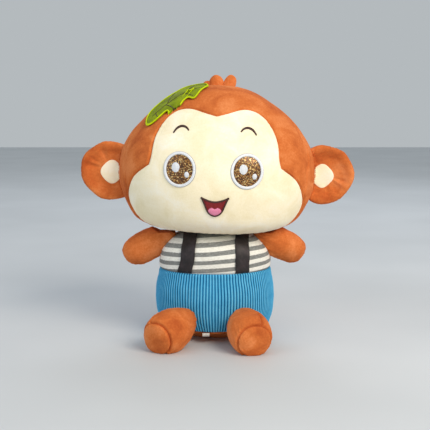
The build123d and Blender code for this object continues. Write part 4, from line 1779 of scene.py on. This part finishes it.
@dataclass
class Limb:
    """A stuffed limb drawn as an outline of (radius, along) from its tip to its root."""

    name: str
    side: Side
    pivot: Array
    way: Array
    seam_way: Array
    outline: tuple
    panels: tuple
    sole_along: float = 0.0
    raised: float = 0.0
    shift: float = 0.0
    keep: float = -3.0
    bend: tuple = (-3.0, 20.0)
    creases: float = 0.5
    seed: int = 80

    def __post_init__(self) -> None:
        """Works out the limb's form, with turn zero at its seam."""
        way = unit(self.way)
        seam = unit(self.seam_way - way * (self.seam_way @ way))
        axes = np.array([seam, np.cross(way, seam), way])
        origin = self.pivot + np.array([self.shift, 0.0, self.raised])
        self.form = Form(spline(self.outline), origin, axes)
        self.start = self.form.share_at(1, self.sole_along) if self.sole_along else 0.0

    def surface(self, share: Array, turn: Array, inset: float = 0.0) -> Array:
        """The stuffed surface: seams, gathers by the sole, creases by the root, soft lumps.

        Args:
            share: the share of the outline, from its first point to its last.
            turn: the angle about the axis.
            inset: how far inside the cover the points lie.

        Returns:
            Points of the surface.
        """
        share, turn = np.broadcast_arrays(share, turn)
        bare = self.form.base(share, turn)
        radius, along = np.moveaxis(pick(self.form.line, share), -1, 0)
        size = self.form.length
        lift = 0.75 * waves(bare, 30.0, self.seed) + 0.25 * waves(bare, 11.0, self.seed + 1)
        seam = Seam(1.9, 0.9, 0.35, 6.5, self.seed + 2)
        beside = np.abs(np.sin(turn / 2)) * 2 * radius
        opposite = np.abs(np.cos(turn / 2)) * 2 * radius
        past = np.clip((share - self.start) * size / 2.0, 0, 1) if self.sole_along else 1.0
        lift = lift + past * (seam.lift(beside, share * size) + seam.lift(opposite, share * size + 9))
        if self.sole_along:
            rim = Seam(2.3, 1.3, 0.6, 7.5, self.seed + 3)
            lift += rim.lift(np.abs(share - self.start) * size, turn * radius)
        near = np.exp(-np.clip(along, 0, None) / 9.0)
        bend = turn + 0.3 * np.sin(turn + 1)
        lift += self.creases * near * (np.sin(9 * bend + self.seed) + 0.6 * np.sin(15 * bend + 1))
        points = self.form.skin(share, turn, lift - inset)
        points[..., 2] = np.maximum(points[..., 2], 0.3 + inset + 0.12 * (points[..., 2] - 0.3 - inset))
        roof = 119.8 - inset + 0.7 * np.clip(np.abs(points[..., 0]) - 64.0, 0, None)
        points[..., 2] -= np.clip(points[..., 2] - roof, 0, None) * 0.9
        return points

    def build(self, stock: Wardrobe) -> None:
        """Builds the panels and the filling.

        Args:
            stock: the finishes that the pieces are dressed in.
        """
        root = max(self.form.share_at(1, self.keep, (0.5, 1.0)), self.start + 0.2)
        per = 1 / self.form.length
        middle = self.pivot + unit(self.way) * 25
        made = []
        rows = graded(self.start, root, 44, per)[:, None]
        if not self.sole_along:
            rows = np.concatenate([np.linspace(0, 0.03, 4), np.linspace(0.03, root, 60)[1:]])[:, None]
        for i, part in enumerate(self.panels[:2]):
            turns = graded(i * pi, (i + 1) * pi, 60, 1 / 17.0)[None]
            made.append(panel(f"{part}_{self.side.label}", self.surface(rows, turns), middle))
        if self.sole_along:
            rim = self.start - FINE_STEPS[:-1][::-1] * per
            disc = np.concatenate([np.linspace(0, self.start - 4.4 * per, 18), rim])
            points = self.surface(disc[:, None], np.linspace(0, 2 * pi, 145)[None])
            made.append(panel(f"{self.panels[2]}_{self.side.label}", points, middle))
        rows, columns = np.broadcast_arrays(np.linspace(0, 1, 40)[:, None], np.linspace(0, 2 * pi, 61)[None])
        stuffing = lumpy(self.surface(rows, columns, COVER + 1.5), self.seed + 5)
        filling = cloth_grid(f"{self.name}_filling_{self.side.label}", stuffing)
        smooth(filling, 180)
        for piece in made:
            dress(piece, stock.brown, (piece.name,), "")
        dress(filling, stock.fibre, (filling.name,), "")
        for piece in (*made, filling):
            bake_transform(piece)


def arm(side: Side) -> Limb:
    """An arm: out and down from the shoulder, its seam low at the front.

    Args:
        side: which side of the toy it is on.

    Returns:
        The limb, not yet built.
    """
    droop, roll = radians({Side.LEFT: 26, Side.RIGHT: 24}[side]), radians(25)
    outline = (
        (0, 52.8), (8, 50.8), (13.4, 45.5), (16.8, 37), (18.0, 26), (17.8, 12), (16.4, 0), (13.0, -9),
        (8, -14), (0, -16),
    )
    return Limb(
        "arm", side, np.array([side.value * 57.0, -4.0, 105.0]),
        np.array([side.value * cos(droop), 0.0, -sin(droop)]),
        np.array([0.0, -sin(roll), -cos(roll)]), outline, ("arm_front", "arm_back"),
        raised={Side.LEFT: 8.6, Side.RIGHT: 10.0}[side],
        shift={Side.LEFT: -0.5, Side.RIGHT: -2.2}[side],
        keep=-13.0, bend=(-2.0, 20.0), creases=0.55, seed=80 + side.value,
    )


def foot(side: Side, yaw: float) -> Limb:
    """A foot: forwards along the floor, a round sole on its end and its seam on top.

    Args:
        side: which side of the toy it is on.
        yaw: how far the foot points out, in degrees.

    Returns:
        The limb, not yet built.
    """
    turn, roll, pitch = radians(yaw), radians(25), radians(11)
    panels = ("foot_outer", "foot_inner", "foot_sole")
    if side is Side.RIGHT:
        panels = ("foot_inner", "foot_outer", "foot_sole")
    outline = (
        (0, 60.4), (10, 59.8), (17.2, 57.0), (20.8, 52.0), (23.8, 41), (23.2, 27), (19.6, 13), (14.8, 2),
        (8.5, -5), (0, -8),
    )
    return Limb(
        "foot", side, np.array([side.value * 29.0, -50.0, 24.5]),
        np.array([side.value * sin(turn) * cos(pitch), -cos(turn) * cos(pitch), -sin(pitch)]),
        np.array([side.value * cos(turn) * sin(roll), sin(turn) * sin(roll), cos(roll)]), outline,
        panels, raised=2.2, shift={Side.LEFT: -2.0, Side.RIGHT: 0.5}[side], sole_along=55.0,
        bend=(-4.0, 22.0), creases=0.35, seed=90 + side.value,
    )


@dataclass
class Tail:
    """The short upright tail behind the seat."""

    pivot: tuple = (0.0, 58.5, 32.0)
    radius: float = 7.4
    reach: float = 8.0
    bend_radius: float = 26.0
    rise: float = 26.0

    def tube(self, radius: float, lumps: float, seed: int) -> Array:
        """Points of a round-ended tube along the tail's line.

        Args:
            radius: the radius of the line or tube.
            lumps: how far the surface moves in and out.
            seed: the seed of the waves.

        Returns:
            Points in rows along the tube.
        """
        swing = np.linspace(0, pi / 2, 30)
        back = self.reach + self.bend_radius * np.sin(swing)
        bend = np.stack([back, self.bend_radius * (1 - np.cos(swing))], -1)
        path = np.vstack([[(-4.0, 0.0)], bend, [(bend[-1, 0], bend[-1, 1] + self.rise)]])
        path = resample(path, 90)
        run = run_along(path)
        left = run[-1] + self.radius * 0.98 - run
        end = np.clip(left / self.radius, 0, 1)
        size = radius * np.sqrt(1 - (1 - end) ** 2)
        tip = path[-1] + np.array([0.0, self.radius * 0.98])
        path = np.vstack([path, path[-1] + (tip - path[-1]) * np.sin(np.linspace(0, pi / 2, 12))[1:, None]])
        size = np.concatenate([np.full(90, radius), radius * np.cos(np.linspace(0, pi / 2, 12))[1:]])
        size[0] = 0.0
        way = unit(np.gradient(path, axis=0))
        up = np.stack([-way[:, 1], way[:, 0]], -1)
        turn = np.linspace(0, 2 * pi, 49)
        across = size[:, None] * np.cos(turn)[None]
        rise = size[:, None] * np.sin(turn)[None]
        flat = path[:, None] + rise[..., None] * up[:, None]
        points = np.stack([across, flat[..., 0], flat[..., 1]], -1) + np.array(self.pivot)
        centre = np.stack([0 * path[:, 0], path[:, 0], path[:, 1]], -1)[:, None] + np.array(self.pivot)
        puffed = unit(points - centre) * (lumps * waves(points, 14.0, seed))[..., None]
        moved = points + puffed * (size > 0)[:, None, None]
        moved[:, -1] = moved[:, 0]
        moved[-1] = moved[-1].mean(0)
        return moved

    def build(self, stock: Wardrobe) -> None:
        """Builds the cover and the filling.

        Args:
            stock: the finishes that the pieces are dressed in.
        """
        cover = cloth_grid("tail_cover", self.tube(self.radius, 0.35, 95))
        filling = cloth_grid("tail_filling", self.tube(self.radius - 2.6, 0.4, 96))
        for piece, material, slot in (
            (cover, stock.brown, "brown_velour"), (filling, stock.fibre, "fibre_filling"),
        ):
            smooth(piece, 180)
            dress(piece, material, (piece.name,), "")
            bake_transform(piece)


def build_neck(stock: Wardrobe) -> None:
    """The jersey sleeve over a ball of filling that carries the head.

    Args:
        stock: the finishes that the pieces are dressed in.
    """
    rows, columns = np.broadcast_arrays(np.linspace(0, 1, 40)[:, None], np.linspace(0, 2 * pi, 97)[None])
    for name, radius, material, slot, low in (
        ("neck_sleeve", 29.0, stock.jersey, "striped_jersey", 121.6),
        ("neck_filling", 26.6, stock.fibre, "fibre_filling", 122.6),
    ):
        angle = rows * radians(84.0 if name == "neck_sleeve" else 80.0)
        level = np.sin(angle)
        shape = np.stack([level * np.cos(columns), level * np.sin(columns), np.cos(angle)], -1)
        points = NECK + shape * (radius + 0.4 * waves(shape * radius, 12.0, 97))[..., None]
        points[..., 2] = np.maximum(points[..., 2], low)
        points[:, -1], points[0] = points[:, 0], points[0].mean(0)
        floor = points[-1:] * np.array([0.0, 0.0, 1.0])
        points = np.vstack([points, floor])
        pattern = np.stack([columns * radius, rows * radius * 1.5], -1)
        pattern = np.vstack([pattern, pattern[-1:]])
        piece = cloth_grid(name, points, pattern, {"row": points[..., 2]})
        smooth(piece, 60)
        dress(piece, material, (name,), "neck")


# ---------------------------------------------------------------- studio


@dataclass
class Studio:
    """A pale floor, one large soft light from the right and a weaker one from the left."""

    distance: float = 1100.0
    elevation: float = 7.0
    aim: tuple = (0.0, 0.0, 138.3)
    lens: float = 80.0

    def build(self, stock: Wardrobe) -> None:
        """Sets up the floor, the lights, the world and the camera.

        Args:
            stock: the finishes that the pieces are dressed in.
        """
        bpy.ops.object.select_all(action="DESELECT")
        bpy.ops.mesh.primitive_grid_add(x_subdivisions=24, y_subdivisions=24, size=6.0, location=(0, 1.2, 0))
        floor = bpy.context.object
        floor.name = "studio_floor"
        floor.data.materials.append(stock.floor)
        self.light("key_light", (0.95, -1.35, 1.25), 1.0, 30.0, "#fff4e4")
        self.light("fill_light", (-1.5, -1.0, 0.9), 1.4, 7.0, "#eaf2fb")
        self.light("back_light", (0.3, 1.5, 1.5), 1.2, 9.0, "#f6f9ff")
        world = bpy.data.worlds.new("studio_air")
        world.use_nodes = True
        shade = world.node_tree.nodes["Background"]
        shade.inputs["Color"].default_value = srgb("#dfe6ea")
        shade.inputs["Strength"].default_value = 0.62
        bpy.context.scene.world = world
        bpy.context.scene.view_settings.view_transform = "Standard"
        low, out = radians(self.elevation), self.distance * MM
        camera = bpy.data.objects.new("camera", bpy.data.cameras.new("camera"))
        bpy.context.scene.collection.objects.link(camera)
        camera.data.lens, camera.data.sensor_width = self.lens, 36.0
        camera.location = Vector(self.aim) * MM + Vector((0.0, -cos(low), sin(low))) * out
        camera.rotation_euler = (pi / 2 - low, 0.0, 0.0)
        bpy.context.scene.camera = camera

    def light(self, name: str, place: tuple, size: float, power: float, colour: str) -> None:
        """A square soft light aimed at the toy's middle.

        Args:
            name: the light's name.
            place: where it stands, in metres.
            size: the length of its sides.
            power: its power.
            colour: its hex colour.
        """
        lamp = bpy.data.lights.new(name, "AREA")
        lamp.size, lamp.energy, lamp.color = size, power, srgb(colour)[:3]
        stand = bpy.data.objects.new(name, lamp)
        bpy.context.scene.collection.objects.link(stand)
        stand.location = place
        aim = Vector(self.aim) * MM - Vector(place)
        stand.rotation_euler = aim.to_track_quat("-Z", "Y").to_euler()


def main() -> None:
    """Builds the toy from the seat up, then the studio."""
    logging.basicConfig(level=logging.INFO, format="%(message)s")
    stock = Wardrobe()
    Torso().build(stock)
    build_neck(stock)
    Tail().build(stock)
    for side, yaw in ((Side.LEFT, 35.0), (Side.RIGHT, 13.0)):
        arm(side).build(stock)
        foot(side, yaw).build(stock)
    head = Head()
    covers = head.build(stock)
    Features().build(stock, head, covers[0])
    Leaf().build(stock, head, covers[1:])
    Tuft().build(stock, head)
    for side, height in ((Side.LEFT, 186.5), (Side.RIGHT, 189.5)):
        Ear(side, height).build(stock, head)
    Studio().build(stock)


if __name__ == "__main__":
    main()
